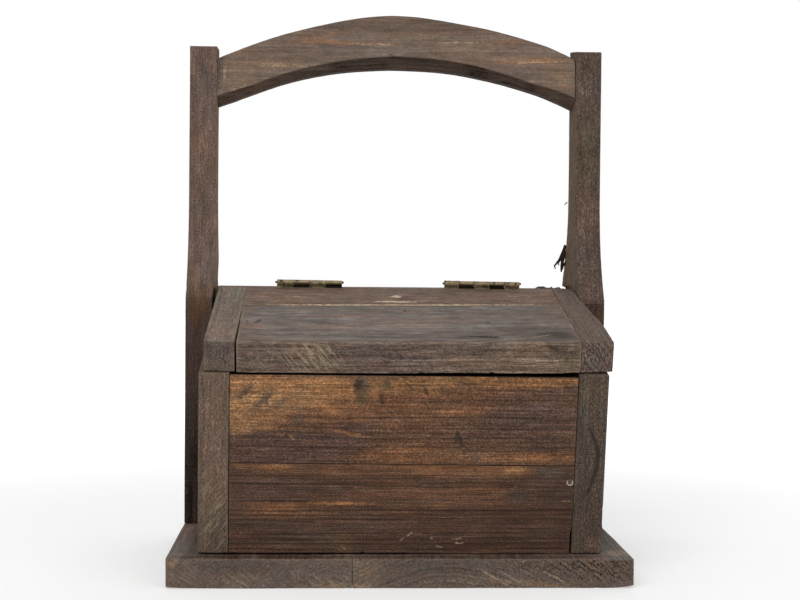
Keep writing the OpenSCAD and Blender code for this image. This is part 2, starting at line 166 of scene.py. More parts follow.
def meshObject(name, points, quads, attributes=None):
    # mesh in metres from box-frame points and quads, smooth shaded, with its vertex attributes
    mesh = bpy.data.meshes.new(name)
    mesh.vertices.add(len(points))
    place = (points + [0, frontY, 0]) * mm
    mesh.vertices.foreach_set("co", place.astype(np.float32).ravel())
    mesh.loops.add(quads.size)
    mesh.loops.foreach_set("vertex_index", quads.astype(np.int32).ravel())
    mesh.polygons.add(len(quads))
    mesh.polygons.foreach_set("loop_start", np.arange(0, quads.size, quads.shape[1], dtype=np.int32))
    mesh.polygons.foreach_set("use_smooth", np.ones(len(quads), bool))
    for key, values in (attributes or {}).items():
        kind = {1: "FLOAT", 3: "FLOAT_VECTOR", 4: "FLOAT_COLOR"}[1 if values.ndim == 1 else values.shape[1]]
        field = {"FLOAT": "value", "FLOAT_VECTOR": "vector", "FLOAT_COLOR": "color"}[kind]
        layer = mesh.attributes.new(key, kind, "POINT")
        layer.data.foreach_set(field, values.astype(np.float32).ravel())
    mesh.update(calc_edges=True)
    obj = bpy.data.objects.new(name, mesh)
    bpy.context.scene.collection.objects.link(obj)
    return obj


def wornRadius(p, seed, arris, chip):
    # radius of the arris at each point: a base value, a slow change, and chips where the noise peaks
    slow, peak, fine = [noiseAt(p, cell, seed + k) for k, cell in enumerate(wood["arrisCells"])]
    peak = np.clip(peak - wood["chipFrom"], 0, None) / (1 - wood["chipFrom"])
    return arris * (1 + wood["arrisSpread"] * (slow + 0.5 * fine)) + chip * peak ** 1.5


def paintedSide(place, facing, axes, side, fields, along):
    # soft spots, washes of another tone, and cracks, all laid on the points that face one way. A spot is
    # exp(-d^p), where d is the distance from its middle in its own half widths along its own turned
    # axes, bent by two noises that run with the grain; a crack is exp(-(distance / width)^2)
    on = facing > paint["facing"]
    u, v = place[on][:, axes].T
    flat = np.stack([u, v, np.zeros(len(u))], axis=1)
    stretch = np.where(np.array(axes + (9,)) == along, paint["along"], paint["across"])
    finer, coarser = paint["cells"]
    ragged = [[noiseAt(flat, cell, paint["seed"] + k) for k in range(2)]
              for cell in (finer, coarser * stretch)]
    share = facing[on]
    fields["rough"][on] += (side.get("rough", 1.0) - 1) * share

    def bell(middleU, middleV, halfU, halfV, amount, turn=0, power=2.2):
        c, s = math.cos(math.radians(turn)), math.sin(math.radians(turn))
        du, dv = u - middleU, v - middleV
        small = min(halfU, halfV) < paint["small"]
        bent = ragged[0] if small else ragged[1]
        stray = [min(paint["raggedShare"], paint["ragged"] / half) for half in (halfU, halfV)]
        far = (du * c + dv * s) / halfU + stray[0] * bent[0]
        near = (dv * c - du * s) / halfV + stray[1] * bent[1]
        power = paint["smallPower"] if small else power
        return amount * (np.exp(-(far ** 2 + near ** 2) ** power) * share)

    for column, kind in enumerate(markKinds):
        for spot in side.get(kind, ()):
            fields["marks"][on, column] += bell(*spot)
    for name, *spot in side.get("washes", ()):
        part = held(bell(*spot))[:, None]
        old = fields["wash"][on]
        total = old[:, 3:] + part * (1 - old[:, 3:])
        mixed = old[:, :3] * old[:, 3:] * (1 - part) + np.array(tones[name][:3]) * part
        fields["wash"][on] = np.concatenate([mixed / np.maximum(total, 1e-6), total], axis=1)
    for u0, v0, u1, v1, width, depth in side.get("cracks", ()):
        run = np.array([u1 - u0, v1 - v0])
        t = held(((u - u0) * run[0] + (v - v0) * run[1]) / (run @ run))
        bendU, bendV = [paint["crackBend"] * noise for noise in ragged[0]]
        away = np.hypot(u - u0 - t * run[0] + bendU, v - v0 - t * run[1] + bendV)
        line = np.exp(-(away / width) ** 2) * share
        fields["dent"][on] += depth * line
        fields["marks"][on, markKinds.index("stain")] += paint["crackStain"] * line


def pitted(grain, ends, look, fields):
    # torn end grain: pits where a noise along slanting rows is high, sunk in and darkened
    cell, depth, turn, level = look["pits"]
    c, s = math.cos(math.radians(turn)), math.sin(math.radians(turn))
    along, u, v = grain.T
    rows = np.stack([along, u * c - v * s, v * c + u * s], axis=1)
    hole = np.clip(noiseAt(rows, cell, look["seed"] + 31) - level, 0, None) / (1 - level)
    hole = np.sqrt(hole) * ends * held(fields["marks"][:, markKinds.index("saw")] + look.get("pitAll", 0))
    fields["dent"] += depth * hole
    fields["marks"][:, markKinds.index("stain")] += 0.5 * hole


def board(name, low, high, look, shape=None, place=None):
    # a board: lattice over the block, moved by shape(p) to its own outline, arrises pulled to the
    # worn radius about the nearest point of the shrunken block, faces raised by grain and planing
    # waves along their normals, and at the end laid in the box frame by place(p)
    pitch = look.get("pitch", (1.5, 1.5, 1.5))
    extra = look.get("extraRows", ((), (), ()))
    p, quads = shell(*[spaced(low[k], high[k], pitch[k], extra[k]) for k in range(3)])
    nominal = p
    if shape:
        p, low, high = shape(p)
    low, high = np.broadcast_to(low, p.shape), np.broadcast_to(high, p.shape)
    seed = look["seed"]
    radius = wornRadius(nominal, seed, look.get("arris", wood["arris"]), look.get("chip", wood["chip"]))
    radius = np.minimum(radius, (high - low).min(axis=1) * wood["arrisShare"])[:, None]
    core = np.clip(p, low + radius, high - radius)
    away = p - core
    normal = away / np.maximum(np.linalg.norm(away, axis=1, keepdims=True), 1e-9)
    rounded = core + radius * normal
    along = look["along"]                       # the axis that the grain runs along
    order = [along, (along + 1) % 3, (along + 2) % 3]
    grain = (p if look.get("sawn") else nominal)[:, order] + np.array(look["heart"], float) * [0, 1, 1]
    relief = wood["grainRelief"] * noiseAt(grain, wood["grainCells"], seed + 3)
    relief += look.get("bow", wood["bow"]) * noiseAt(grain, wood["bowCells"], seed + 4)
    rounded = rounded + normal * (relief - wood["sunk"])[:, None]
    if look.get("bevel"):
        rounded = look["bevel"](rounded)
    gaps = np.sort(np.minimum(p - low, high - p), axis=1)
    edge = np.exp(-(gaps[:, 1] / wood["edgeReach"]) ** 2)
    ends = np.abs(normal[:, along]) ** 4
    fields = {"marks": np.zeros((len(p), 3)), "wash": np.zeros((len(p), 4)), "dent": np.zeros(len(p)),
              "rough": np.ones(len(p))}
    laid = place(rounded) if place else rounded
    for face, side in look.get("sides", {}).items():
        direction, axes = faces[face]
        facing = held(normal @ np.array(direction, float)) ** 2
        paintedSide(laid, facing, axes, side, fields, along)
    if look.get("pits"):
        pitted(grain, ends, look, fields)
    if fields["dent"].any():
        rounded = rounded - normal * fields["dent"][:, None]
        laid = place(rounded) if place else rounded
    shade = look["shade"](laid) if look.get("shade") else np.zeros(len(p))
    attributes = {"grain": grain, "edge": edge, "ends": ends, "shade": shade, "rough": fields["rough"],
                  "marks": held(fields["marks"]), "wash": held(fields["wash"])}
    obj = meshObject(name, laid, quads, attributes)
    obj.data.materials.append(woodMaterial(name + "Wood", look))
    return obj


# material helpers


def newNode(tree, kind, inputs=None, **settings):
    # a node with its settings, its inputs given as sockets or plain values
    node = tree.nodes.new("ShaderNode" + kind)
    for key, value in settings.items():
        setattr(node, key, value)
    for key, value in (inputs or {}).items():
        if isinstance(value, bpy.types.NodeSocket):
            tree.links.new(value, node.inputs[key])
        else:
            node.inputs[key].default_value = value
    return node


def calc(tree, operation, a, b=0.0, c=0.0):
    # one sum on up to three numbers
    return newNode(tree, "Math", {0: a, 1: b, 2: c}, operation=operation).outputs[0]


def mixColour(tree, factor, a, b, blend="MIX"):
    # a blended into b by the factor
    node = newNode(tree, "Mix", {0: factor, 6: a, 7: b}, data_type="RGBA", blend_type=blend)
    return node.outputs[2]


def smooth(tree, value, low, high, bottom=0.0, top=1.0):
    # 3t^2 - 2t^3 between low and high
    inputs = {"Value": value, "From Min": low, "From Max": high, "To Min": bottom, "To Max": top}
    return newNode(tree, "MapRange", inputs, interpolation_type="SMOOTHSTEP").outputs[0]


def noiseField(tree, vector, scale, detail=2.0, roughness=0.5, shift=0.0):
    # noise on a vector that is stretched by scale, a number for each axis, and shifted
    scaled = newNode(tree, "VectorMath", {0: vector, 1: scale, 2: (shift, shift * 0.7, -shift)},
                     operation="MULTIPLY_ADD").outputs[0]
    inputs = {"Vector": scaled, "Scale": 1.0, "Detail": detail, "Roughness": roughness}
    return newNode(tree, "TexNoise", inputs).outputs[0]


def attribute(tree, name, output="Fac"):
    # a value stored on the mesh's points
    return newNode(tree, "Attribute", attribute_name=name).outputs[output]


def bound(tree):
    # the helpers above for one tree
    return [partial(helper, tree) for helper in (newNode, calc, mixColour, smooth, noiseField, attribute)]


def grey(value):
    # a colour with three equal parts
    return (value, value, value, 1)


def tone(r, g, b):
    # a colour as it is seen on a screen, from 0 to 255, made linear
    linear = [v / 255 / 12.92 if v <= 10 else ((v / 255 + 0.055) / 1.055) ** 2.4 for v in (r, g, b)]
    return (*linear, 1)


def emptyMaterial(name):
    # a material that holds only its shader and its output
    material = bpy.data.materials.new(name)
    material.use_nodes = True
    tree = material.node_tree
    tree.nodes.clear()
    shader = newNode(tree, "BsdfPrincipled")
    output = newNode(tree, "OutputMaterial", {"Surface": shader.outputs[0]})
    return material, tree, shader, output


def woodMaterial(name, look):
    # sawn and weathered wood, from the board's own grain coordinates: its tone with patches and washes,
    # bare wood where it is worn, growth rings round a heart beside the board, and fibres, dashes and
    # specks that darken or lighten it by powers of two; then torn end grain, stain, saw strokes, rubbed
    # arrises, pale chips, and the darkening of the shade attribute, which on the handle's bevel and
    # underside is painted shade and stain
    material, tree, shader, _ = emptyMaterial(name)
    newNode, calc, mixColour, smooth, noiseField, attribute = bound(tree)
    times = partial(calc, "MULTIPLY")
    look = {**woodFinish, **look}
    seed = look["seed"]
    grain = attribute("grain", "Vector")
    split = newNode("SeparateXYZ", {0: grain})
    drift = noiseField(grain, (0.006, 0.03, 0.03), 3.0, 0.55, seed)
    radius = newNode("VectorMath", {0: grain, 1: (0, 1, 1)}, operation="MULTIPLY").outputs[0]
    radius = newNode("VectorMath", {0: radius}, operation="LENGTH").outputs[1]
    around = times(calc("ARCTAN2", split.outputs[2], split.outputs[1]), radius)
    radius = calc("MULTIPLY_ADD", drift, look["wander"], radius)
    radius = calc("MULTIPLY_ADD", split.outputs[0], look["lean"], radius)
    phase = times(radius, 1 / look["ring"])
    uneven = noiseField(newNode("CombineXYZ", {0: phase}).outputs[0], (0.33, 1, 1), 1.0, 0.5, seed)
    phase = calc("MULTIPLY_ADD", uneven, 2.4, phase)
    part = calc("FRACT", phase)
    late = times(smooth(part, 0.45, 0.84), smooth(part, 0.86, 1.0, 1.0, 0.0))
    year = newNode("TexWhiteNoise", {"W": calc("FLOOR", phase)}, noise_dimensions="1D").outputs[0]
    late = times(late, smooth(year, 0.0, 1.0, 0.1, 1.0))

    fine = look["fine"]
    fibre = noiseField(grain, (0.018 / fine, 0.6 * fine, 0.6 * fine), 3.0, 0.75, seed + 5)
    dash = noiseField(grain, (0.10 / fine, 0.6 * fine, 0.6 * fine), 2.0, 0.6, seed + 7)
    streak = noiseField(grain, (0.007, 0.2, 0.2), 3.0, 0.6, seed + 9)
    blotch = noiseField(grain, (0.012, 0.035, 0.035), 4.0, 0.6, seed + 13)
    mottle = noiseField(grain, (0.05, 0.12, 0.12), 3.0, 0.6, seed + 17)
    speckle = noiseField(grain, (0.3 * fine, 0.5 * fine, 0.5 * fine), 2.0, 0.65, seed + 21)
    hue = noiseField(grain, (0.02, 0.12, 0.12), 3.0, 0.7, seed + 25)
    grit = noiseField(grain, (look["gritAlong"], 0.85, 0.85), 1.0, 0.5, seed + 29)
    ringPlace = newNode("CombineXYZ", {0: radius, 1: around}).outputs[0]
    torn = noiseField(ringPlace, (0.7, 0.4, 1), 0.0, 0.5, seed + 33)

    marks = newNode("SeparateXYZ", {0: attribute("marks", "Vector")})
    stained, bleached, saw = marks.outputs
    edge, ends, shade = attribute("edge"), attribute("ends"), attribute("shade")
    rough = attribute("rough")

    def layer(share, weight, over):
        # the colour so far with another one laid over it, by the share times the weight
        return mixColour(times(share, weight), colour, over)

    def about(value, weight, total=0.0):
        # total + weight * (value - 0.5)
        return calc("MULTIPLY_ADD", calc("SUBTRACT", value, 0.5), weight, total)

    def roughly(weight, share=1.0):
        # a weight that grows with the roughness of the face, by a share of it
        return calc("MULTIPLY_ADD", rough, weight * share, weight * (1 - share))

    patchShare = times(smooth(blotch, 0.42, 0.62), look["patchy"])
    colour = mixColour(patchShare, look["tone"], look["patch"])
    colour = layer(ends, look["endShare"], look["end"])
    washShare = times(attribute("wash", "Alpha"), about(streak, 2.6, about(mottle, 1.2, 1.0)))
    colour = mixColour(washShare, colour, attribute("wash", "Color"))
    worn = about(dash, 0.8, about(streak, 1.8, look["wornAll"]))
    colour = mixColour(smooth(worn, 0.28, 0.9), colour, look["bare"])
    warm = mixColour(smooth(hue, 0.36, 0.64), look["cool"], look["warm"])
    colour = mixColour(1.0, colour, warm, "MULTIPLY")
    power = about(fibre, roughly(look["fibreDepth"], 0.3))
    power = about(streak, look["streakDepth"], power)
    power = about(dash, look["dashDepth"], power)
    power = about(speckle, look["speckleDepth"], power)
    power = about(mottle, roughly(look["mottleDepth"], -0.3), power)
    power = calc("MULTIPLY_ADD", late, -look["ringDepth"], power)
    power = about(grit, roughly(look["gritDepth"]), power)
    power = times(calc("POWER", 2.0, power), look["gain"])
    colour = mixColour(1.0, colour, fineGrey(tree, power), "MULTIPLY")

    row = times(smooth(part, 0.1, 0.35), smooth(part, 0.65, 0.9, 1.0, 0.0))
    holes = times(smooth(calc("MULTIPLY_ADD", row, 0.16, torn), 0.58, 0.66), ends)
    holes = times(holes, calc("MULTIPLY_ADD", saw, look["tornSawn"], look["torn"]))
    colour = layer(holes, 0.85, look["stain"])
    stain = about(speckle, 1.6, about(grit, 1.2, stained))
    stain = times(smooth(stain, 0.25, 0.95), smooth(stained, 0.02, 0.2))
    colour = layer(stain, 0.85, look["stain"])

    sawField = noiseField(sawVector(tree, look), (0.05, 0.5, 0.16), 2.0, 0.65, seed + 2)
    strokes = times(smooth(sawField, 0.48, 0.62), calc("ADD", saw, look["sawAll"]))
    strokes = times(strokes, smooth(speckle, 0.25, 0.5))
    colour = layer(strokes, look["sawShare"], look["sawTone"])

    rub = times(edge, smooth(about(dash, 1.0, blotch), 0.42, 0.66))
    colour = layer(rub, look["rubShare"], look["rub"])
    pale = smooth(about(speckle, 1.4, about(grit, 1.0, bleached)), 0.25, 0.9)
    pale = times(pale, smooth(bleached, 0.02, 0.2))
    colour = layer(pale, 0.7, look["pale"])
    # the shade attribute multiplies in the darkening tint: painted shade and stain on the handle's bevel
    # and underside, and darker low on the posts
    dark = times(shade, about(speckle, 1.4, about(streak, 1.4, about(mottle, 0.8, 1.0))))
    colour = mixColour(dark, colour, look["dirt"], "MULTIPLY")

    height = about(speckle, roughly(1.2, 0.3), about(grit, roughly(0.8)))
    height = about(fibre, 0.9, about(dash, 0.8, height))
    height = calc("MULTIPLY_ADD", late, 0.3, height)
    height = calc("MULTIPLY_ADD", strokes, 0.5, height)
    height = calc("MULTIPLY_ADD", stain, -0.3, height)
    height = calc("MULTIPLY_ADD", holes, -1.0, height)
    bump = newNode("Bump", {"Height": height, "Strength": look["bump"], "Distance": 0.6 * mm})
    tree.links.new(bump.outputs[0], shader.inputs["Normal"])
    tree.links.new(colour, shader.inputs["Base Color"])
    gloss = smooth(speckle, 0.2, 0.8, look["roughness"] - 0.1, look["roughness"] + 0.1)
    tree.links.new(gloss, shader.inputs["Roughness"])
    shader.inputs["Specular IOR Level"].default_value = look["specular"]
    return material


def fineGrey(tree, value):
    # a grey colour from a number
    return newNode(tree, "CombineColor", {0: value, 1: value, 2: value}).outputs[0]


def sawVector(tree, look):
    # object place in millimetres, turned about Y by the angle of the saw strokes: x runs along them
    place = newNode(tree, "TexCoord").outputs["Object"]
    inputs = {"Vector": place, "Rotation": (0, math.radians(look["sawAngle"]), 0), "Scale": (1 / mm,) * 3}
    turned = newNode(tree, "Mapping", inputs, vector_type="POINT").outputs[0]
    parts = newNode(tree, "SeparateXYZ", {0: turned})
    x, y, z = parts.outputs
    return newNode(tree, "CombineXYZ", {0: x, 1: z, 2: y}).outputs[0]


def finish(obj, body, node):
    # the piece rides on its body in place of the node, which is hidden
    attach(obj, body)
    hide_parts(node)


def camel(node):
    # the node's name without underlines, with a capital for every word but the first
    first, *others = node.split("_")
    return first + "".join(word.capitalize() for word in others)


def addBoard(node, look, shape=None, place=None, body="box", ends=None, name=None):
    # the board that stands in for a node, between the node's own corners or other ones
    low, high = ends or span(node)
    finish(board(name or camel(node), low, high, look, shape, place), body, node)


# tones shared by the boards

tones = {
    "tan": tone(153, 114, 80), "gold": tone(164, 118, 74), "orange": tone(134, 95, 66),
    "rust": tone(114, 82, 61), "purple": tone(86, 67, 60), "umber": tone(62, 45, 36),
    "olive": tone(96, 84, 62), "smoke": tone(78, 70, 62), "greyBlue": tone(110, 105, 101),
    "sand": tone(146, 124, 100), "mauve": tone(112, 95, 88), "reddish": tone(124, 98, 84),
}
woodFinish = {
    "wander": 14.0, "lean": 0.006, "ring": 3.2,         # rings: how they wave and run out, and their width
    "patchy": 0.5, "wornAll": 0.0, "ringDepth": 0.45,   # shares of patches, bare wood and dark rings
    "fibreDepth": 2.6, "streakDepth": 0.0, "dashDepth": 1.2,   # how strongly each noise tells
    "speckleDepth": 1.2, "mottleDepth": 1.2, "gritDepth": 1.2, "gritAlong": 0.4, "fine": 1.0,
    "warm": (1.08, 0.99, 0.93, 1), "cool": (0.96, 1.0, 1.02, 1), "gain": 1.1, "torn": 0.0, "tornSawn": 0.0,
    "endShare": 0.55, "sawAngle": 50, "sawAll": 0.0, "sawShare": 0.5, "rubShare": 0.4,
    # darkening: the tint that the shade attribute multiplies in, painted shade and stain on the handle's
    # bevel and underside
    "stain": tone(52, 43, 37), "pale": tone(172, 152, 127), "dirt": (0.06, 0.052, 0.05, 1),
    "bump": 0.7, "roughness": 0.8, "specular": 0.15,
}
greyWood = {
    "tone": tone(100, 85, 76), "patch": tone(88, 79, 70), "bare": tone(126, 104, 88),
    "end": tone(84, 73, 65), "rub": tone(144, 125, 104), "sawTone": tone(150, 128, 106),
}
redWood = {
    "tone": tone(82, 61, 50), "patch": tone(78, 62, 54), "bare": tone(140, 92, 54),
    "end": tone(58, 44, 37), "rub": tone(130, 100, 72), "sawTone": tone(120, 92, 66), "rubShare": 0.2,
}

# base

basePlanks = {
    "left": dict(
        greyWood, seed=11, along=1, heart=(0, 60, 60), ring=4.2, pitch=(1.3, 2.2, 1.3), arris=0.7,
        sawAngle=-35, sawTone=tone(168, 143, 115), tone=tone(112, 98, 88), ringDepth=0.35,
        end=tone(106, 93, 86), endShare=0.9, rubShare=0.55, torn=0.12, sawShare=0.7,
        sides={"front": {
            "saw": [(-138, 6, 16, 9, 0.9), (-62, 5, 22, 8, 0.9), (-188, 12, 12, 12, 0.6)],
            "stain": [(-120, 23, 60, 2, 0.25), (-128, 17, 3, 3, 0.35), (-88, 12, 3, 2, 0.3)],
            "washes": [("sand", -50, 2, 26, 3, 0.6), ("sand", -196, 22, 6, 3, 0.7, 30),
                ("reddish", -160, 8, 40, 6, 0.35), ("smoke", -140, 18, 40, 7, 0.4)],
        }, "top": {
            # the stain and the umber wash at y 6 to 7 lie under the bin's front, seen through the gap below
            # it: painted shade
            "stain": [(-112, 7, 66, 7, 1)],
            "washes": [("greyBlue", -190, 30, 22, 60, 0.6), ("umber", -120, -9, 90, 9, 0.95),
                ("umber", -112, 6, 70, 7, 1, 0, 8), ("umber", -182, 60, 9, 90, 0.6),
                ("greyBlue", -197, 10, 5, 60, 0.6)],
        }}),
    "right": dict(
        greyWood, seed=12, along=1, heart=(0, 110, -42), ring=4.2, wander=8, pitch=(1.1, 2.2, 1.1),
        fibreDepth=1.6, mottleDepth=0.8, arris=0.8, sawAngle=-30, sawTone=tone(150, 124, 98),
        tone=tone(107, 93, 83), ringDepth=0.65, gritDepth=1.8, end=tone(105, 92, 84), endShare=0.9,
        rubShare=0.45, torn=0.12, tornSawn=1.0, pits=((30, 4.0, 1.5), 0.35, -38, 0.15),
        sides={"front": {
            "saw": [(168, 17, 34, 11, 1), (118, 20, 36, 6, 0.7)],
            "pale": [(102, 23.3, 6, 1.8, 0.5), (86, 25, 5, 1, 0.4), (-34, 1.5, 8, 1.5, 0.6),
                (78, 9.5, 18, 0.9, 1, -30), (95, 8, 15, 0.9, 0.9, -33), (133, 8.5, 19, 0.9, 1, -26),
                (113, 10, 17, 0.7, 0.6, -28), (60, 4, 22, 0.8, 0.6, -8), (20, 5, 26, 0.8, 0.45, 4)],
            "stain": [(155, 22, 12, 5, 0.25)],
            "washes": [("sand", -34, 2, 12, 3, 0.8), ("sand", -34, 15, 16, 11, 0.4),
                ("sand", 90, 6, 60, 3, 0.5, -6), ("smoke", 30, 18, 50, 9, 0.35),
                ("reddish", 170, 20, 10, 6, 0.5, -30)],
            "cracks": [(8, 23, 60, 20, 0.4, 0.08)],
        }, "top": {
            # the stain at y 7 lies under the bin's front, seen through the gap below it: painted shade
            "stain": [(-20, 7, 40, 7, 1)],
            "washes": [("greyBlue", 188, 30, 16, 70, 0.75), ("umber", 60, -9, 122, 9, 0.7),
                ("sand", 190, 8, 9, 12, 0.5)],
        }}),
}
baseWear = {
    "front": -19, "middle": 13,                    # place of the front face, height of its middle
    "drop": 0.8, "dropBack": 90,                   # the front's top sinks, less and less to the back
    "dropEnd": 201, "dropIn": 20,                  # and to the left end
    "left": 0.9, "right": 1.9,                     # how far the left end stands out and the right one in
    "endFrom": 150, "endOver": 50,
    "end": 201.5, "corner": 2.4, "cornerReach": 34,   # the worn lower corners
    "cornerHigh": 8, "cornerLeft": 0.5,
    "seam": 0.2,                                   # how far each plank is widened to shut the seam
}


def wornBase(p):
    # the front's top sinks, the ends move, and the lower corners are worn up by the cube of the share of
    # their reach, the left one less than the right one
    w = baseWear
    x, y, z = p.T
    sunk = w["drop"] * (held(1 - (y - w["front"]) / w["dropBack"]) * held((z - w["middle"]) / w["middle"]))
    sunk = sunk * held((x + w["dropEnd"]) / w["dropIn"])
    out = w["left"] * held((-w["endFrom"] - x) / w["endOver"])
    out = out + w["right"] * held((x - w["endFrom"]) / w["endOver"])
    past = held((np.abs(x) - w["end"] + w["cornerReach"]) / w["cornerReach"]) ** 3
    corner = w["corner"] * past * held(1 - z / w["cornerHigh"]) * np.where(x > 0, 1.0, w["cornerLeft"])
    return moved(moved(p, -out, 0, -sunk), z=corner)


for side, look in basePlanks.items():
    low, high = span("base_board_" + side)
    if side == "left":
        high[0] += baseWear["seam"]
    else:
        low[0] -= baseWear["seam"]
    name = "basePlank" + side.capitalize()
    addBoard("base_board_" + side, look, None, wornBase, ends=(low, high), name=name)
print("base planks made")

# sides of the bin

sideShape = {
    "slope": 14.1,       # of the lid, in degrees
    "gap": 0.4,          # under the closed lid
    "twist": 2.9,        # the right side's front leans out above and in below
    "twistDepth": 110,   # how far back the twist reaches
    "middle": 104, "half": 77,                                 # mid-height of the bin, and half its height
    "lift": 0.7, "liftFrom": 26, "liftHigh": 20, "liftDeep": 40,   # the left side's foot, clear of the base
}
rise = math.tan(math.radians(sideShape["slope"]))
lidUnder = span("lid_board_front")[0][2] - rise * 2.5     # height of the lid's underside above y = 0
sideTop = lidUnder - sideShape["gap"] / math.cos(math.radians(sideShape["slope"]))

sides = {
    "left": dict(
        greyWood, seed=21, along=2, heart=(0, 40, 120), ring=3.0, sawAll=0.15,
        pitch=(1.5, 1.8, 1.5), tone=tone(108, 90, 79), patch=tone(94, 82, 71),
        sawTone=tone(142, 124, 104), gritDepth=3.2, gritAlong=0.7, speckleDepth=3.0, fibreDepth=2.2,
        sawShare=0.85,
        sides={"front": {
            "saw": [(-163, 70, 15, 46, 0.9)],
            "pale": [(-155, 134.5, 1.2, 1.2, 0.7), (-159.3, 117.6, 1.3, 1.6, 0.9),
                (-165.7, 104.6, 1.1, 1.1, 0.7), (-154.5, 104.7, 1.1, 1.1, 0.8)],
            "stain": [(-158, 36, 12, 8, 0.3)],
            "washes": [("olive", -160, 55, 20, 34, 0.35), ("smoke", -158, 44, 17, 26, 0.75),
                ("reddish", -170, 90, 5, 90, 0.3)],
        }}),
    "right": dict(
        greyWood, seed=22, along=2, heart=(0, 60, -140), ring=3.4, sawAngle=40, pitch=(1.5, 1.8, 1.5),
        arris=1.6, tone=tone(84, 73, 64), patch=tone(74, 64, 57), gritDepth=4.4, gritAlong=0.7,
        bare=tone(104, 90, 76), speckleDepth=3.4, fibreDepth=2.2, rubShare=0.25, endShare=0.3,
        sides={"front": {
            "stain": [(164.5, 131, 1.7, 5, 0.8, 20), (168, 123, 2, 6.5, 1, 14),
                (170.5, 114, 2.3, 6.5, 1.1, 5), (170, 105, 2.3, 6.5, 1.1, -8), (168, 97, 2, 6.5, 1, -16),
                (165, 88, 1.8, 6, 0.9, -24), (161.5, 80, 2.2, 5, 0.7, -30), (156, 133, 3, 8, 0.4, 14),
                (156, 140, 12, 3, 0.35), (158, 73, 7, 1.8, 0.4), (166, 176, 7, 3, 0.4)],
            "cracks": [(163, 136, 167.5, 125, 0.8, 0.3), (167.5, 125, 170.6, 112, 0.9, 0.35),
                (170.6, 112, 169.4, 100, 0.9, 0.35), (169.4, 100, 162, 81, 0.8, 0.3)],
            "washes": [("olive", 165, 165, 12, 14, 0.35), ("smoke", 166, 128, 14, 44, 0.4),
                ("reddish", 168, 34, 10, 7, 0.45), ("smoke", 160, 60, 14, 18, 0.5),
                ("umber", 164, 60, 15, 32, 0.3)],
        }}),
}


def sideOutline(node):
    # the side's top follows the lid's slope up to the rail
    def shape(p):
        low, high = span(node)
        top = np.minimum(sideTop + rise * p[:, 1], high[2])
        q = p.copy()
        q[:, 2] = low[2] + (p[:, 2] - low[2]) * (top - low[2]) / (high[2] - low[2])
        lows, highs = perPoint(p, low, high)
        highs[:, 2] = top
        return q, lows, highs
    return shape


def raised(p):
    # the front of the left side's foot stands a little clear of the base
    low = held(1 - (p[:, 2] - sideShape["liftFrom"]) / sideShape["liftHigh"])
    return moved(p, z=sideShape["lift"] * low * held(1 - p[:, 1] / sideShape["liftDeep"]))


def twisted(z):
    # the distance from mid-height, as a share of half the height
    return np.clip((z - sideShape["middle"]) / sideShape["half"], -1, 1)


def leaning(p):
    # x moves by the twist, fading to the back
    fade = held(1 - p[:, 1] / sideShape["twistDepth"])
    return moved(p, sideShape["twist"] * twisted(p[:, 2]) * fade)


for side, look in sides.items():
    node = "side_board_" + side
    addBoard(node, look, sideOutline(node), {"left": raised, "right": leaning}[side])
print("sides made")

# front and back boards

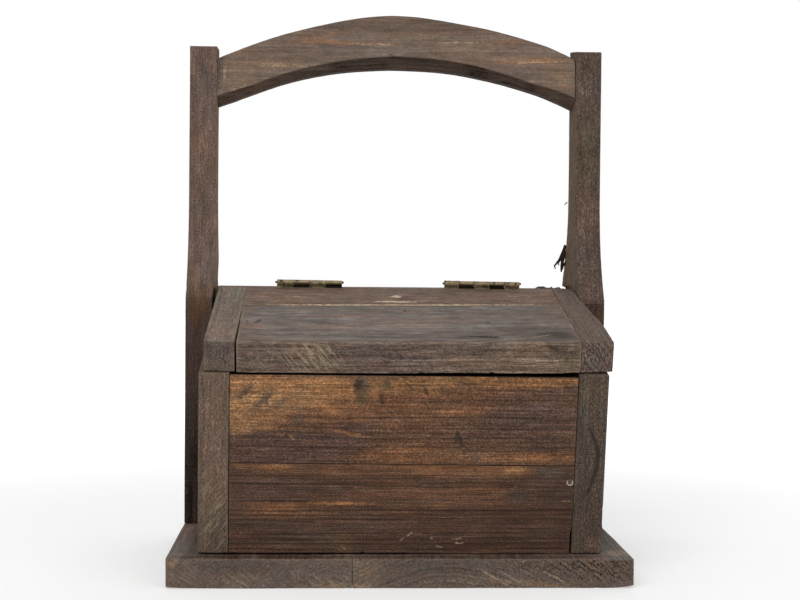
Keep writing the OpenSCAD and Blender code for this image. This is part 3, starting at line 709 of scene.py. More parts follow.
fronts = {
    "upper": dict(
        redWood, seed=32, along=0, heart=(0, -20, -70), ring=4.4, wander=8, lean=0.004,
        pitch=(1.0, 2.5, 1.0), arris=0.42, tone=tone(96, 72, 57), gritDepth=3.4, gritAlong=0.75,
        speckleDepth=1.6, fine=1.35, ringDepth=0.7, fibreDepth=3.6, dashDepth=1.4,
        sides={"front": {
            "washes": [("rust", -20, 156, 70, 24, 0.7), ("rust", 40, 155, 70, 18, 0.55),
                ("tan", -128, 160, 34, 28, 0.98), ("tan", -132, 143, 27, 14, 0.9, 0, 4),
                ("tan", -84, 163, 46, 19, 0.85), ("orange", -50, 160, 30, 16, 0.5),
                ("gold", -20, 172, 60, 7, 0.45), ("gold", 72, 175.5, 92, 4.5, 0.8),
                ("purple", 112, 144, 44, 24, 0.75), ("orange", 35, 146, 36, 7, 0.35),
                ("purple", -112, 119, 82, 13.4, 0.95, 0, 8), ("purple", -50, 132, 26, 12, 0.7, 12),
                ("orange", 12, 113, 50, 10, 0.6), ("orange", 104, 109, 54, 5.5, 0.75),
                ("smoke", -136.8, 166.6, 10, 3.2, 0.8, 42), ("smoke", -120.7, 159.7, 12, 3.4, 0.8, 38),
                ("smoke", -106.7, 157, 9, 3.6, 0.6, 40), ("smoke", -91, 142, 5.5, 5, 0.6),
                ("smoke", -116, 142, 8, 4, 0.3), ("smoke", -37, 171, 8, 9, 0.75, 0, 4),
                ("olive", -36.2, 161.4, 6, 6.5, 0.7), ("olive", -13.6, 173.1, 5, 6, 0.7),
                ("olive", 48.7, 126.4, 5, 7, 0.6), ("gold", -47.5, 130.7, 16, 1.5, 0.6, -11),
                ("gold", -103, 129.5, 9, 1.4, 0.5, -6), ("smoke", 130, 168.8, 6, 5, 0.5, 30),
                ("smoke", 146.7, 169.6, 7, 4, 0.8, 30), ("smoke", 62.6, 110, 3, 9, 0.5)],
            "stain": [(-134, 168.8, 4, 1.3, 0.3, 42), (-118, 161.6, 5, 1.3, 0.3, 38),
                (-91, 142, 3.5, 2.5, 0.25), (-39, 172.7, 4.8, 7.5, 0.95, -4), (-36, 160, 3.6, 4, 0.45),
                (-18.5, 161, 3, 7, 0.9, 12), (-24, 150.2, 3, 3, 0.5), (-13.6, 174, 4, 4, 0.4),
                (-48.4, 134.1, 3, 0.9, 0.9), (-101, 128.7, 2.3, 2, 1), (-66.2, 122, 2, 1.1, 0.8),
                (-24, 113.4, 1.8, 5, 0.6, 10), (5.2, 172.2, 4.5, 1.2, 0.9, -35),
                (19.5, 167, 6.5, 1.4, 1, -65), (47.4, 129.8, 3, 3, 1), (50.2, 123.3, 2.4, 4.4, 1.1, 10),
                (46, 124.3, 1.8, 2.4, 0.8), (135, 174, 3, 2, 0.5)],
            "pale": [(-95.4, 126.2, 2.6, 0.9, 1, -35), (-97, 128, 1.5, 0.7, 0.7),
                (-35.3, 178.4, 5, 0.8, 0.6), (-21.4, 178.2, 3, 0.8, 0.6), (-3, 178.3, 5, 0.8, 0.6),
                (-124.5, 152.4, 8, 0.6, 0.75, -3)],
            "cracks": [(-85, 145.6, -2, 144.6, 0.5, 0.15), (-150, 132.2, -98, 131.9, 0.5, 0.15),
                (-32.7, 129.4, -25.8, 129.2, 0.7, 0.2), (-2, 137.7, 85, 137.4, 0.45, 0.12),
                (-132, 151.4, -117, 150.9, 0.5, 0.2)],
        }}),
    "lower": dict(
        redWood, seed=31, along=0, heart=(0, 5, 80), ring=4.0, wander=6, lean=-0.007,
        pitch=(1.0, 2.5, 1.0), arris=0.45, tone=tone(85, 63, 51), gritDepth=3.2, gritAlong=0.75,
        speckleDepth=1.6, fine=1.35, ringDepth=1.1, fibreDepth=4.2,
        sides={"front": {
            "washes": [("rust", -40, 99, 90, 7, 0.6), ("rust", 30, 80, 90, 12, 0.5),
                ("gold", -116, 101.6, 30, 2.2, 0.6), ("orange", 48, 99, 64, 7, 0.5),
                ("gold", 98, 99.5, 11, 3, 0.4), ("smoke", 125, 97.5, 16, 4, 0.55, 12),
                ("gold", -55, 69.7, 27, 1.1, 0.65), ("orange", -112, 67.5, 26, 3.6, 0.6),
                ("orange", -105, 60, 32, 3.6, 0.5), ("orange", 83, 78.5, 8, 4.5, 0.55),
                ("orange", 45, 69.2, 45, 1.3, 0.6), ("rust", -5, 61.5, 28, 1.4, 0.6),
                ("smoke", 101, 78, 12, 8.5, 0.7), ("purple", 132, 84, 26, 12, 0.5),
                ("olive", -58, 36, 15, 8, 0.5), ("greyBlue", -58, 83, 9, 2.4, 0.35, -20),
                ("purple", -120, 82, 34, 8, 0.5), ("umber", 60, 34, 110, 7, 0.45),
                ("umber", 144, 60, 7, 30, 0.4), ("umber", 105, 66, 44, 26, 0.4)],
            "stain": [(43.7, 63.1, 5, 2.6, 0.6), (-10, 63.1, 3, 2.4, 0.5), (63, 99.5, 1.8, 1.8, 0.9)],
            "pale": [(6.5, 43.2, 3, 0.8, 0.95, 30), (0.4, 38.9, 2.6, 0.8, 0.8, 40),
                (25.6, 39.8, 2.4, 0.8, 0.95, -50), (47.5, 39.3, 4.5, 0.8, 0.9, 4),
                (48.5, 35.4, 6, 0.8, 1, 2), (32.6, 32, 4.4, 0.8, 0.95, -15),
                (-134.6, 77.9, 3, 0.6, 0.6, 25), (-144, 49.3, 1.8, 0.7, 0.5), (-146, 46, 0.7, 1.8, 0.45),
                (-140, 44, 3, 0.6, 0.4), (-51.9, 90, 1, 1, 0.7), (-40.6, 83.9, 1, 1, 0.7),
                (142.3, 72.2, 3.8, 0.7, 0.8), (98, 83.5, 5, 0.7, 0.45, 25), (106, 80, 0.8, 4, 0.4, 12),
                (98, 73, 5, 0.7, 0.35, -20), (-50, 30, 12, 0.8, 0.4), (-95, 31, 20, 0.6, 0.3)],
            "cracks": [(-141, 71.6, -86, 71.3, 0.6, 0.35), (-132, 91.9, 88, 91.3, 0.5, 0.15),
                (-133, 86.3, -98, 86, 0.5, 0.15), (-72, 85.9, 96, 85.3, 0.65, 0.2),
                (-150, 35, 150, 33.8, 0.5, 0.12), (-20, 30, 150, 29.4, 0.5, 0.1)],
        }}),
}
frontGap = {
    "low": 47, "blend": 6, "width": 1.7,   # below this height the joint with the right side is open
    "lean": 2.55, "from": 90, "over": 60,  # how the boards follow the leaning side, and from where
    "end": 150, "proud": 1.3,              # how much higher the upper board stands at its left end
    "seam": 0.6, "fall": 0.0073,           # the seam's rise at the left end, and its fall per millimetre
    "under": (-174, -60, 10, 30),          # at these places
    "open": (0.7, 0.6, 0.4, 0),            # the lower board stands this far clear of the base
}


def frontJoint(part):
    # the right end follows the leaning side and stops a little short low down; the seam between the two
    # boards falls to the right, the upper one's top rises to the left and the lower one's underside is open
    g = frontGap
    low, high = span("front_board_" + part)

    def place(p):
        x, _, z = p.T
        near = held((x - g["from"]) / g["over"])
        short = g["width"] * held((g["low"] + g["blend"] / 2 - z) / g["blend"])
        share = (z - low[2]) / (high[2] - low[2])
        seam = g["seam"] - g["fall"] * (x + g["end"])
        if part == "upper":
            up = seam * (1 - share) + g["proud"] * (g["end"] - x) / (2 * g["end"]) * share
        else:
            up = seam * share + np.interp(x, g["under"], g["open"]) * (1 - share)
        return moved(p, near * (g["lean"] * twisted(z) - short), 0, up)
    return place


for part, look in fronts.items():
    addBoard("front_board_" + part, look, None, frontJoint(part))

backs = {
    "lower": dict(
        redWood, seed=35, along=0, heart=(0, 15, 70), ring=3.1, pitch=(2, 2.5, 1.6), wornAll=0.08,
        sides={"back": {
            "washes": [("rust", -60, 80, 80, 14, 0.6), ("orange", 80, 62, 70, 9, 0.5, 3),
                ("purple", 20, 45, 120, 12, 0.6)],
            "stain": [(70, 70, 5, 6, 0.7)],
        }}),
    "upper": dict(
        redWood, seed=36, along=0, heart=(0, -30, -60), ring=3.6, pitch=(2, 2.5, 1.6), wornAll=0.1,
        sides={"back": {
            "washes": [("tan", 70, 190, 80, 20, 0.7), ("rust", -40, 170, 90, 24, 0.6),
                ("purple", -110, 130, 50, 20, 0.6)],
            "stain": [(-60, 160, 5, 5, 0.8), (95, 140, 4, 6, 0.7)],
        }}),
}
for part, look in backs.items():
    addBoard("back_board_" + part, look)

railLook = dict(
    greyWood, seed=38, along=0, heart=(0, 20, -90), ring=3.3, pitch=(1.6, 1.6, 1.6),
    tone=tone(104, 88, 78),
    sides={"top": {
        "stain": [(158, 222, 16, 12, 1), (100, 226, 30, 4, 0.4)],
        "washes": [("umber", 158, 222, 16, 12, 1)],
    }})
railTear = {                           # torn grain on the rail's top
    "x": (145, 170), "y": (212, 232), "fade": (2, 3), "depth": 2, "height": 2.3,
    "cell": (3.2, 6, 9), "seed": 39, "level": 0.55,
}


def tornRail(p):
    # the torn place stands up by a ragged noise where the window of its four edges is open
    window = 1.0
    for k, name in enumerate("xy"):
        start, stop = railTear[name]
        window = window * held(np.minimum(p[:, k] - start, stop - p[:, k]) / railTear["fade"][k])
    noise = held(railTear["level"] + noiseAt(p, railTear["cell"], railTear["seed"]))
    top = span("hinge_rail")[1][2]
    return moved(p, z=railTear["height"] * window * noise * (p[:, 2] > top - railTear["depth"]))


addBoard("hinge_rail", railLook, None, tornRail)
print("front, back and rail made")

# posts

post = {
    "shoulder": 244, "curve": 100, "neck": 27.4,   # heights of shoulder and curve, depth above them
    "cut": {"left": 0, "right": 3.2},              # how much higher the top is cut behind
    "cutHigh": 20,                                 # how far down the cut moves the rows
    "swollen": {"left": (1.5, 1.5), "right": (0, 3.8)},   # how far the inner face stands in,
    "swellAt": (182, 227),                         # at these two depths,
    "swellFrom": {"left": 258, "right": 254.6},    # above this height,
    "swellOver": {"left": 26, "right": 2},         # reached over this much more
    "soot": ((0, 80, 140, 190, 235, 262), (0.8, 0.78, 0.62, 0.55, 0.4, 0)),   # heights, shares there
    "tide": 240.5, "belowTide": 0.5, "aboveTide": 0.02,   # a sharp line on the right post, darker below it
    "damp": 0.4, "dampHigh": 170,                  # and a darkening that grows towards its foot
}
posts = {
    "left": dict(
        greyWood, seed=41, along=2, heart=(0, 130, 10), pitch=(1.5, 2.0, 1.6),
        tone=tone(106, 88, 80), patch=tone(98, 84, 76), gritDepth=2.8, gritAlong=0.6, ringDepth=0.3,
        rubShare=0.2, fibreDepth=1.5, mottleDepth=1.7,
        sides={"front": {
            "pale": [(-199.4, 55.5, 1.4, 1.4, 0.9)],
            "washes": [("reddish", -190, 400, 9, 40, 0.3), ("smoke", -199, 456, 4, 10, 0.25),
                ("olive", -190, 345, 4, 16, 0.45), ("olive", -189, 322, 3, 12, 0.4),
                ("olive", -186, 372, 7, 16, 0.3), ("reddish", -198, 372, 3, 30, 0.4),
                ("olive", -199, 262, 5, 12, 0.4), ("rust", -190, 236, 8, 22, 0.7)],
        }, "rightward": {
            # the sand wash lightens the inner face: painted light
            "washes": [("sand", 195, 370, 60, 140, 0.75)],
        }}),
    "right": dict(
        greyWood, seed=42, along=2, heart=(0, -90, 40), ring=3.0, pitch=(1.5, 2.0, 1.6),
        tone=tone(90, 75, 67), patch=tone(83, 71, 63), gritDepth=3.3, gritAlong=0.7, ringDepth=0.3,
        rubShare=0.2, fibreDepth=1.4, speckleDepth=2.4, mottleDepth=1.8,
        sides={"front": {
            "washes": [("olive", 190, 385, 12, 45, 0.4), ("mauve", 190, 452, 14, 12, 0.5),
                ("smoke", 194, 385, 7, 26, 0.25), ("reddish", 190, 330, 9, 30, 0.3),
                ("rust", 196, 225, 10, 15, 0.6)],
            "stain": [(186, 420, 3, 10, 0.4)],
            "pale": [(193, 243, 8, 0.8, 0.4), (190, 251, 7, 0.7, 0.3, 8)],
        }, "leftward": {
            # the sand wash lightens the inner face: painted light
            "washes": [("sand", 195, 380, 60, 150, 0.35)],
        }}),
}


def postOutline(node):
    # half depth: half the foot below the shoulder, half the neck above the curve, and between them
    # a hollow circle that is tangent to the neck
    def shape(p):
        low, high = span(node)
        middle, foot = (low[1] + high[1]) / 2, (high[1] - low[1]) / 2
        neck = post["neck"] / 2
        run = foot - neck
        r = (post["curve"] ** 2 + run ** 2) / (2 * run)
        above = np.clip(post["shoulder"] + post["curve"] - p[:, 2], 0, post["curve"])
        half = np.where(p[:, 2] <= post["shoulder"], foot, neck + r - np.sqrt(r ** 2 - above ** 2))
        q = p.copy()
        q[:, 1] = middle + (p[:, 1] - middle) * half / foot
        lows, highs = perPoint(p, low, high)
        lows[:, 1], highs[:, 1] = middle - half, middle + half
        return q, lows, highs
    return shape


def swollen(side):
    # the inner face moves in above the box, and the outer face stays; the top is cut higher behind
    low, high = span("upright_" + side)
    neckFront = (low[1] + high[1] - post["neck"]) / 2

    def place(p):
        x, y, z = p.T
        inward = (x - low[0] if side == "left" else high[0] - x) / (high[0] - low[0])
        rise = held((z - post["swellFrom"][side]) / post["swellOver"][side])
        swell = np.interp(y, post["swellAt"], post["swollen"][side])
        swell = swell * inward * rise * rise * (3 - 2 * rise) * (1 if side == "left" else -1)
        back = held((y - neckFront) / post["neck"])
        return moved(p, swell, 0, post["cut"][side] * back * held(1 - (high[2] - z) / post["cutHigh"]))
    return place


def leftShade(p):
    # darker low on the front of the left post, fading out above the shoulder
    return np.interp(p[:, 2], *post["soot"])


def rightShade(p):
    # a sharp line at the shoulder of the right post, darker below it, and darker still towards the foot
    damp = post["damp"] * held((post["dampHigh"] - p[:, 2]) / post["dampHigh"])
    return np.where(p[:, 2] < post["tide"], post["belowTide"], post["aboveTide"]) + damp


sharpRows = [post["shoulder"] + step for step in (-0.8, 0, 0.8)]
sharpRows += [post["tide"] - 0.3, post["tide"] + 0.3]
for side, look in posts.items():
    node = "upright_" + side
    look["shade"] = {"left": leftShade, "right": rightShade}[side]
    look["extraRows"] = ((), (), sharpRows)
    addBoard(node, look, postOutline(node), swollen(side))
print("posts made")

# handle bar

bar = dict(
    greyWood, seed=51, along=0, sawn=True, heart=(0, 10, -420), ring=7.5, wander=20, lean=0.0,
    pitch=(1.6, 1.6, 0.8), arris=2.2, bow=0.5, ringDepth=0.3, speckleDepth=1.0, rubShare=0.2,
    tone=tone(121, 103, 91), patch=tone(106, 91, 82), bare=tone(146, 118, 92), pale=tone(192, 162, 130),
    gritDepth=0.9, fibreDepth=1.7, dashDepth=0.8, rise=45, underRise=39, height=52,
    bevels=((-177, 9.5), (-142, 8), (-80, 9), (0, 10.5), (80, 10), (135, 7.5), (177, 11)),
    sides={"front": {
        "washes": [("smoke", 0, 512, 90, 9, 0.4), ("sand", -114, 472, 36, 3, 0.5),
            ("tan", -68, 494, 28, 2, 0.4), ("reddish", -104, 494, 24, 3.4, 0.6, 8),
            ("tan", -72, 500, 24, 2.4, 0.28, 12), ("tan", 140, 479, 36, 2.6, 0.6, 2),
            ("tan", 150, 482, 22, 1.8, 0.4, 1), ("tan", 108, 497.6, 20, 1.8, 0.45, 3),
            ("sand", 118, 482, 22, 1.8, 0.5, 3), ("sand", 75, 490, 50, 5, 0.35),
            ("sand", 160, 463, 15, 10, 0.45), ("sand", -150, 462, 20, 14, 0.3),
            # the narrow smoke wash at the left end is painted shade of a shallow scoop that the bar's shape
            # leaves out
            ("smoke", -175, 463, 4.5, 20, 0.8, -6), ("smoke", 160, 470, 10, 4, 0.3),
            ("greyBlue", -30, 483, 40, 8, 0.35)],
        "pale": [(-20, 492.6, 27, 1, 0.85), (60, 495.6, 36, 1, 0.6, 1.6), (-114, 470.3, 36, 1, 0.65, 0.4),
            # the upright pale mark at the left end is the painted highlight on the edge of that scoop
            (137, 477.4, 34, 1.1, 0.85, 2.5), (-168.6, 462, 1.5, 14, 0.75, -8),
            (-156, 448, 15, 1.3, 0.5, 17)],
        "stain": [(-5, 482.5, 4, 1.6, 0.6), (-100, 488, 3, 2, 0.4), (150, 466, 6, 4, 0.4),
            (88, 486, 20, 1.4, 0.35)],
    }})
barLow, barHigh = span("handle_bar")
barHalf = barHigh[0]
barTrim = {                                      # how the hand-sawn edges leave their two arcs
    "at": (-177, *range(-160, 171, 22), 177),
    "top": (0, -1.5, -2.8, -3.1, -3.3, -2.9, -1.9, -0.8, 0,
            -0.6, -1.6, -2.1, -1.6, -0.7, 0.7, 3, 4, 4),
    "under": (-0.3, -1.9, -2, -1, -0.3, 0, 0.4, 0.3, 0.7, 0.5, 0.8, 0.9, 0.5, 0.7, 1, 1.5, 1.2, 1),
}
barStainAndShade = {"thick": 0.93, "uneven": 0.3, "under": 0.6, "top": 0.5}   # painted shade and stain on the bevel and underside, and a thin darkening of the top


def arcDrop(x, riseAtEnd):
    # how far an arc that drops by riseAtEnd over the half span has dropped at x
    r = (barHalf ** 2 + riseAtEnd ** 2) / (2 * riseAtEnd)
    return r - np.sqrt(r ** 2 - x ** 2)


def barUnder(x):
    # height of the underside: its arc and the trim of the edge
    arc = barHigh[2] - bar["height"] - arcDrop(x, bar["underRise"])
    return arc + np.interp(x, barTrim["at"], barTrim["under"])


def barTop(x):
    # height of the top: its arc and the trim of the edge
    return barHigh[2] - arcDrop(x, bar["rise"]) + np.interp(x, barTrim["at"], barTrim["top"])


def barOutline(p):
    # the top and the underside are two trimmed arcs, and the rows between them are shared out evenly
    top = barTop(p[:, 0])
    under = barUnder(p[:, 0])
    share = (p[:, 2] - barLow[2]) / (barHigh[2] - barLow[2])
    q = p.copy()
    q[:, 2] = under + share * (top - under)
    lows, highs = perPoint(p, barLow, barHigh)
    lows[:, 2], highs[:, 2] = under, top
    return q, lows, highs


def pastBevel(p):
    # how far each point lies outside the plane of the bevel on the lower front edge
    xs, sizes = zip(*bar["bevels"])
    return np.interp(p[:, 0], xs, sizes) - (p[:, 1] - barLow[1]) - (p[:, 2] - barUnder(p[:, 0]))


def barBevel(p):
    # points outside the bevel's plane, which is a little uneven, are moved square onto it
    over = np.clip(pastBevel(p) + 0.5 * noiseAt(p, 40, 77), 0, None) / 2
    return moved(p, 0, over, over)


def barShade(p):
    # painted shade and stain lie thick in streaks on the bevel and the underside, and the top is darkened
    # thinly
    share = barStainAndShade
    past = pastBevel(p) + 0.3 * noiseAt(p, 12, 78)
    thick = share["thick"] + share["uneven"] * noiseAt(p, (30, 3, 3), 79)
    onTop = share["top"] * held((p[:, 2] - barTop(p[:, 0]) + 1.6) / 1.2)
    beneath = share["under"] * (p[:, 2] < barUnder(p[:, 0]) + 1)
    return np.where(p[:, 1] < barLow[1] + 13, thick * held(0.6 + past / 2), beneath) + onTop


bar["bevel"], bar["shade"] = barBevel, barShade
addBoard("handle_bar", bar, barOutline)
print("bar made")

# lid

lid = {
    "thick": 26.7, "reach": 173, "inset": 2.5,   # thickness, reach to the back, front edge behind the bin's
    "frontBoard": 120.5, "seam": 0.4,            # length of the front board along the slope, gap behind it
    "trimFrom": 45, "trimTo": 140, "corner": 12, # the right batten's trim past the post, its round corner
    "over": 6, "postGap": 0.8,                   # how far it stands out past the side, gap at the post
    "liftAt": (-173, -150, -64, 101, 156, 183),  # the racked lid: its front lifts by these amounts
    "lift": (0.5, 0, 0, 0, 0.5, 1.3),
    "swell": (1.1, 0.4, 0, 1.4, 1.4, 1.2),       # and its top swells by these
    "skew": 0.026,                               # how much the seam between its two boards slants
    "sagAt": (-148, -138, 0, 32, 60, 88, 138, 148),
    "sag": (0, 1.2, 1.3, 0.3, 0.3, 0.7, 0.7, 0),  # how far its front hangs over the gap between the sides
    "joint": 0.55, "jointReach": 66,             # how far each side of its left joint has shrunk, in front
    "pressed": 0.7,                              # share of that by which the joints are pressed behind
    "rackReach": 150, "sagReach": 20,            # how far back the lift and the sag fade out
}
slope = math.radians(sideShape["slope"])
halfBox = span("side_board_right")[1][0]


def onLid(p):
    # from the lid's own frame (across, up the slope, square to it) to the box frame, with the rack
    across, up, out = p.T
    swell = np.interp(across, lid["liftAt"], lid["swell"]) * out / lid["thick"]
    sag = np.interp(across, lid["sagAt"], lid["sag"]) * (1 - out / lid["thick"])
    sag = sag * held(1 - up / lid["sagReach"])
    lift = (np.interp(across, lid["liftAt"], lid["lift"]) + swell) * held(1 - up / lid["rackReach"]) - sag
    y = up * math.cos(slope) - out * math.sin(slope)
    return np.stack([across, y, lidUnder + up * math.sin(slope) + out * math.cos(slope) + lift], axis=1)


def backEnd(n):
    # place along the slope where the upright back end lies, at the height n in the lid
    return (lid["reach"] + n * math.sin(slope)) / math.cos(slope)


def lidOutline(low, high, back=None, rightEdge=False, skewed=None, shrunk=None):
    # the back end follows the upright cut, the right batten's outer edge the trim and the corner, the
    # seam between the two boards slants across the lid, and the left joint opens towards the front
    def shape(p):
        q = p.copy()
        lows, highs = perPoint(p, low, high)
        if shrunk:
            share = (p[:, 0] - low[0]) / (high[0] - low[0])
            gap = lid["joint"] * np.clip(1 - p[:, 1] / lid["jointReach"], -lid["pressed"], 1)
            q[:, 0] += -gap * share if shrunk == "high" else gap * (1 - share)
            (highs if shrunk == "high" else lows)[:, 0] += -gap if shrunk == "high" else gap
        if skewed:
            share = (p[:, 1] - low[1]) / (high[1] - low[1])
            slant = lid["skew"] * p[:, 0]
            q[:, 1] += slant * (share if skewed == "high" else 1 - share)
            (highs if skewed == "high" else lows)[:, 1] += slant
        if back:
            end = back(p[:, 2])
            q[:, 1] = lows[:, 1] + (q[:, 1] - lows[:, 1]) * (end - lows[:, 1]) / (high[1] - lows[:, 1])
            highs[:, 1] = end
        if rightEdge:
            corner = lid["corner"]
            y = q[:, 1] * math.cos(slope) - q[:, 2] * math.sin(slope)
            ends = (halfBox + lid["over"], halfBox - lid["postGap"])
            inCorner = np.clip(y - (lid["reach"] - corner), 0, corner)
            edge = np.interp(y, (lid["trimFrom"], lid["trimTo"]), ends)
            edge = edge - corner + np.sqrt(corner ** 2 - inCorner ** 2 + 1e-6)
            q[:, 0] = low[0] + (p[:, 0] - low[0]) * (edge - low[0]) / (high[0] - low[0])
            highs[:, 0] = edge
        return q, lows, highs
    return shape


front = lid["inset"] / math.cos(slope)
seamAt = front + lid["frontBoard"]
xLeft, xRight = [corner[0] for corner in span("lid_board_front")]
lidBoards = {
    "front": dict(
        greyWood, seed=61, along=0, heart=(0, 30, -75), ring=4.5, wander=16, pitch=(1.2, 1.2, 1.6),
        tone=tone(101, 86, 77), patch=tone(95, 83, 74), bare=tone(130, 110, 95), ringDepth=0.35,
        rubShare=0.85, arris=0.6, gritDepth=0.75, gritAlong=0.5, fibreDepth=2.8, streakDepth=1.0,
        mottleDepth=2.2, speckleDepth=1.7, span=(front, seamAt), sawAngle=-50,
        sawTone=tone(176, 157, 131), sawShare=0.95, rub=tone(156, 138, 116),
        sides={"lidTop": {
            "washes": [("greyBlue", -70, 60, 90, 70, 0.6), ("greyBlue", 70, 60, 100, 70, 0.6),
                ("reddish", -135, 44, 14, 7, 0.7), ("reddish", -40, 45, 40, 10, 0.35, 3),
                ("reddish", 20, 62, 50, 10, 0.4), ("reddish", -60, 78, 50, 8, 0.3),
                ("smoke", 115, 30, 32, 22, 0.6), ("smoke", 100, 92, 50, 12, 0.35),
                ("smoke", -60, 102, 60, 6, 0.35), ("smoke", 62, 13, 26, 7, 0.6),
                ("smoke", 138, 18, 16, 17, 0.85), ("sand", 10, 50, 26, 6, 0.4)],
            "stain": [(-129, 57.6, 2.2, 5.4, 1.3, -24), (-138.4, 57.4, 2, 3, 1.2),
                (5.6, 93.6, 2.4, 2.8, 1.3), (128, 20, 14, 7, 0.7, 25), (141, 16, 10, 13, 0.75),
                (50, 112, 40, 2.4, 0.4), (72, 12, 9, 3.2, 1.1, 3), (60, 15, 16, 2.2, 0.7),
                (90, 14, 18, 2, 0.5), (79, 56, 2, 3.4, 0.9)],
            "pale": [(-99, 40, 12, 2, 0.5, -25), (-62, 22, 26, 3, 0.35, 3), (124, 16, 14, 1.6, 0.7, 25),
                (100, 6, 16, 2, 0.6, 3), (132, 40, 9, 1.6, 0.4), (-118, 84, 12, 1.6, 0.35),
                (20, 84, 22, 1.8, 0.3)],
            "cracks": [(58, 14, 70, 12.5, 1.2, 0.4), (68, 12.8, 82, 11, 2.1, 0.8),
                (-131, 54, -127, 62, 1.3, 0.6)],
        }, "lidFront": {
            "rough": 3.2,
            "washes": [("mauve", 10, 196, 190, 30, 0.75), ("sand", -80, 198, 28, 12, 0.3, -20),
                ("sand", 95, 196, 62, 26, 0.42), ("smoke", 134, 206, 12, 5, 0.7, -10),
                ("olive", 143, 192, 7, 14, 0.5), ("sand", -128, 190, 20, 5, 0.25)],
            "saw": [(-79, 196, 27, 15, 1), (-122, 196, 12, 14, 0.25), (0, 194, 60, 14, 0.15)],
            "pale": [(-82, 199, 14, 3, 0.35), (-96, 190, 10, 2, 0.3), (-72, 196, 12, 2, 0.35),
                (-113, 198, 1.8, 10, 0.4, -6), (145, 204.5, 4, 1.3, 0.9, 25), (30, 185.5, 100, 0.8, 0.45),
                (-95, 209.6, 60, 1.2, 0.9), (0, 209.6, 60, 0.9, 0.6), (140, 189, 9, 0.8, 0.5),
                (142, 194, 7, 0.8, 0.45)],
            "stain": [(130, 205.5, 8, 3, 0.8, -15), (119, 200, 3, 5, 0.4)],
        }}),
    "back": dict(
        greyWood, seed=62, along=0, heart=(0, -20, -60), ring=4.0, wander=10, pitch=(1.2, 1.4, 1.6),
        tone=tone(103, 84, 72), patch=tone(97, 83, 73), bare=tone(138, 112, 90), gritDepth=1.3,
        fibreDepth=3.2, streakDepth=1.1, mottleDepth=2.6, speckleDepth=2.2,
        span=(seamAt + lid["seam"], backEnd(lid["thick"])), rubShare=0.3, ringDepth=0.3,
        pale=tone(226, 200, 170),
        sides={"lidTop": {
            "washes": [("sand", 5, 114.6, 160, 1.6, 0.95, 1.5), ("reddish", -100, 140, 50, 12, 0.4),
                ("smoke", 60, 160, 90, 8, 0.3)],
            "pale": [(0, 143, 6, 3.8, 1.4), (-3, 125, 20, 2.8, 1.4, -1), (-40, 113.3, 90, 1.8, 0.75, 1.5),
                (70, 115.9, 80, 1.6, 0.7, 1.5), (-95, 139, 12, 2.2, 0.5), (-62, 138, 9, 2, 0.45),
                (118, 146, 16, 2, 0.4)],
            "stain": [(8, 134, 13, 3, 0.7), (45, 119, 5, 3, 0.8), (-62, 119, 6, 3, 0.7)],
        }}),
}
for part, look in lidBoards.items():
    start, end = look["span"]
    low, high = np.array([xLeft, start, 0.0]), np.array([xRight, end, lid["thick"]])
    shape = {"front": lidOutline(low, high, skewed="high", shrunk="low"),
             "back": lidOutline(low, high, backEnd, skewed="low", shrunk="low")}[part]
    addBoard("lid_board_" + part, look, shape, onLid, "lid", (low, high))

battens = {
    "left": dict(
        greyWood, seed=65, along=1, heart=(0, -6, -34), ring=3.4, pitch=(1.4, 1.4, 1.4), arris=0.8,
        tone=tone(112, 100, 91), patch=tone(103, 94, 84), rubShare=0.7, end=tone(118, 106, 99),
        endShare=0.9, gritDepth=3.0, gritAlong=0.85, fibreDepth=1.6, speckleDepth=2.2, ringDepth=0.6,
        torn=0.25,
        sides={"lidFront": {
            "rough": 0.7,
            "washes": [("smoke", -160, 205, 15, 8, 0.4, 0, 4), ("purple", -160, 201, 15, 7, 0.2, 0, 4),
                ("olive", -161, 189, 12, 6, 0.55, 0, 4)],
            "pale": [(-165, 197.3, 5, 0.9, 0.7, 25), (-155, 196, 7, 0.8, 0.5, -22),
                (-160, 207.6, 13, 0.9, 0.5)],
            # the stain line along the front's lower edge is painted shade in the gap above the side
            "stain": [(-160, 184.6, 13, 1.2, 0.8)],
            "cracks": [(-172, 194.6, -166.3, 197.7, 0.7, 0.35), (-166.3, 197.7, -159.1, 196, 0.7, 0.35),
                (-159.1, 196, -153.4, 191.2, 0.7, 0.35), (-153.4, 191.2, -147, 187.2, 0.7, 0.35),
                (-168, 181.5, -148, 182, 0.6, 0.1)],
        }, "lidTop": {
            "washes": [("reddish", -158, 22, 20, 22, 0.45), ("olive", -158, 100, 16, 50, 0.3)],
            "stain": [(-162.5, 88, 1.8, 2.2, 1)],
            "saw": [(-158, 60, 16, 70, 0.4)],
        }}),
    "right": dict(
        greyWood, seed=66, along=1, heart=(0, 90, -20), ring=3.8, pitch=(0.8, 1.8, 0.8), arris=1.2,
        tone=tone(93, 80, 71), patch=tone(86, 75, 67), rubShare=0.55, end=tone(122, 107, 99),
        endShare=0.9, gritDepth=2.4, speckleDepth=2.0, torn=0.8, pits=((30, 2.4, 1.1), 0.45, 15, 0.2),
        pitAll=1.0),
}
for side, look in battens.items():
    node = "lid_batten_" + side
    low, high = span(node)
    low[1:], high[1:] = (front, 0), (backEnd(lid["thick"]), lid["thick"])
    if side == "right":
        low[0] -= lid["joint"] * lid["pressed"]
    shape = lidOutline(low, high, backEnd, side == "right", shrunk="high" if side == "left" else None)
    addBoard(node, look, shape, onLid, "lid", (low, high))
print("lid made")

# metal

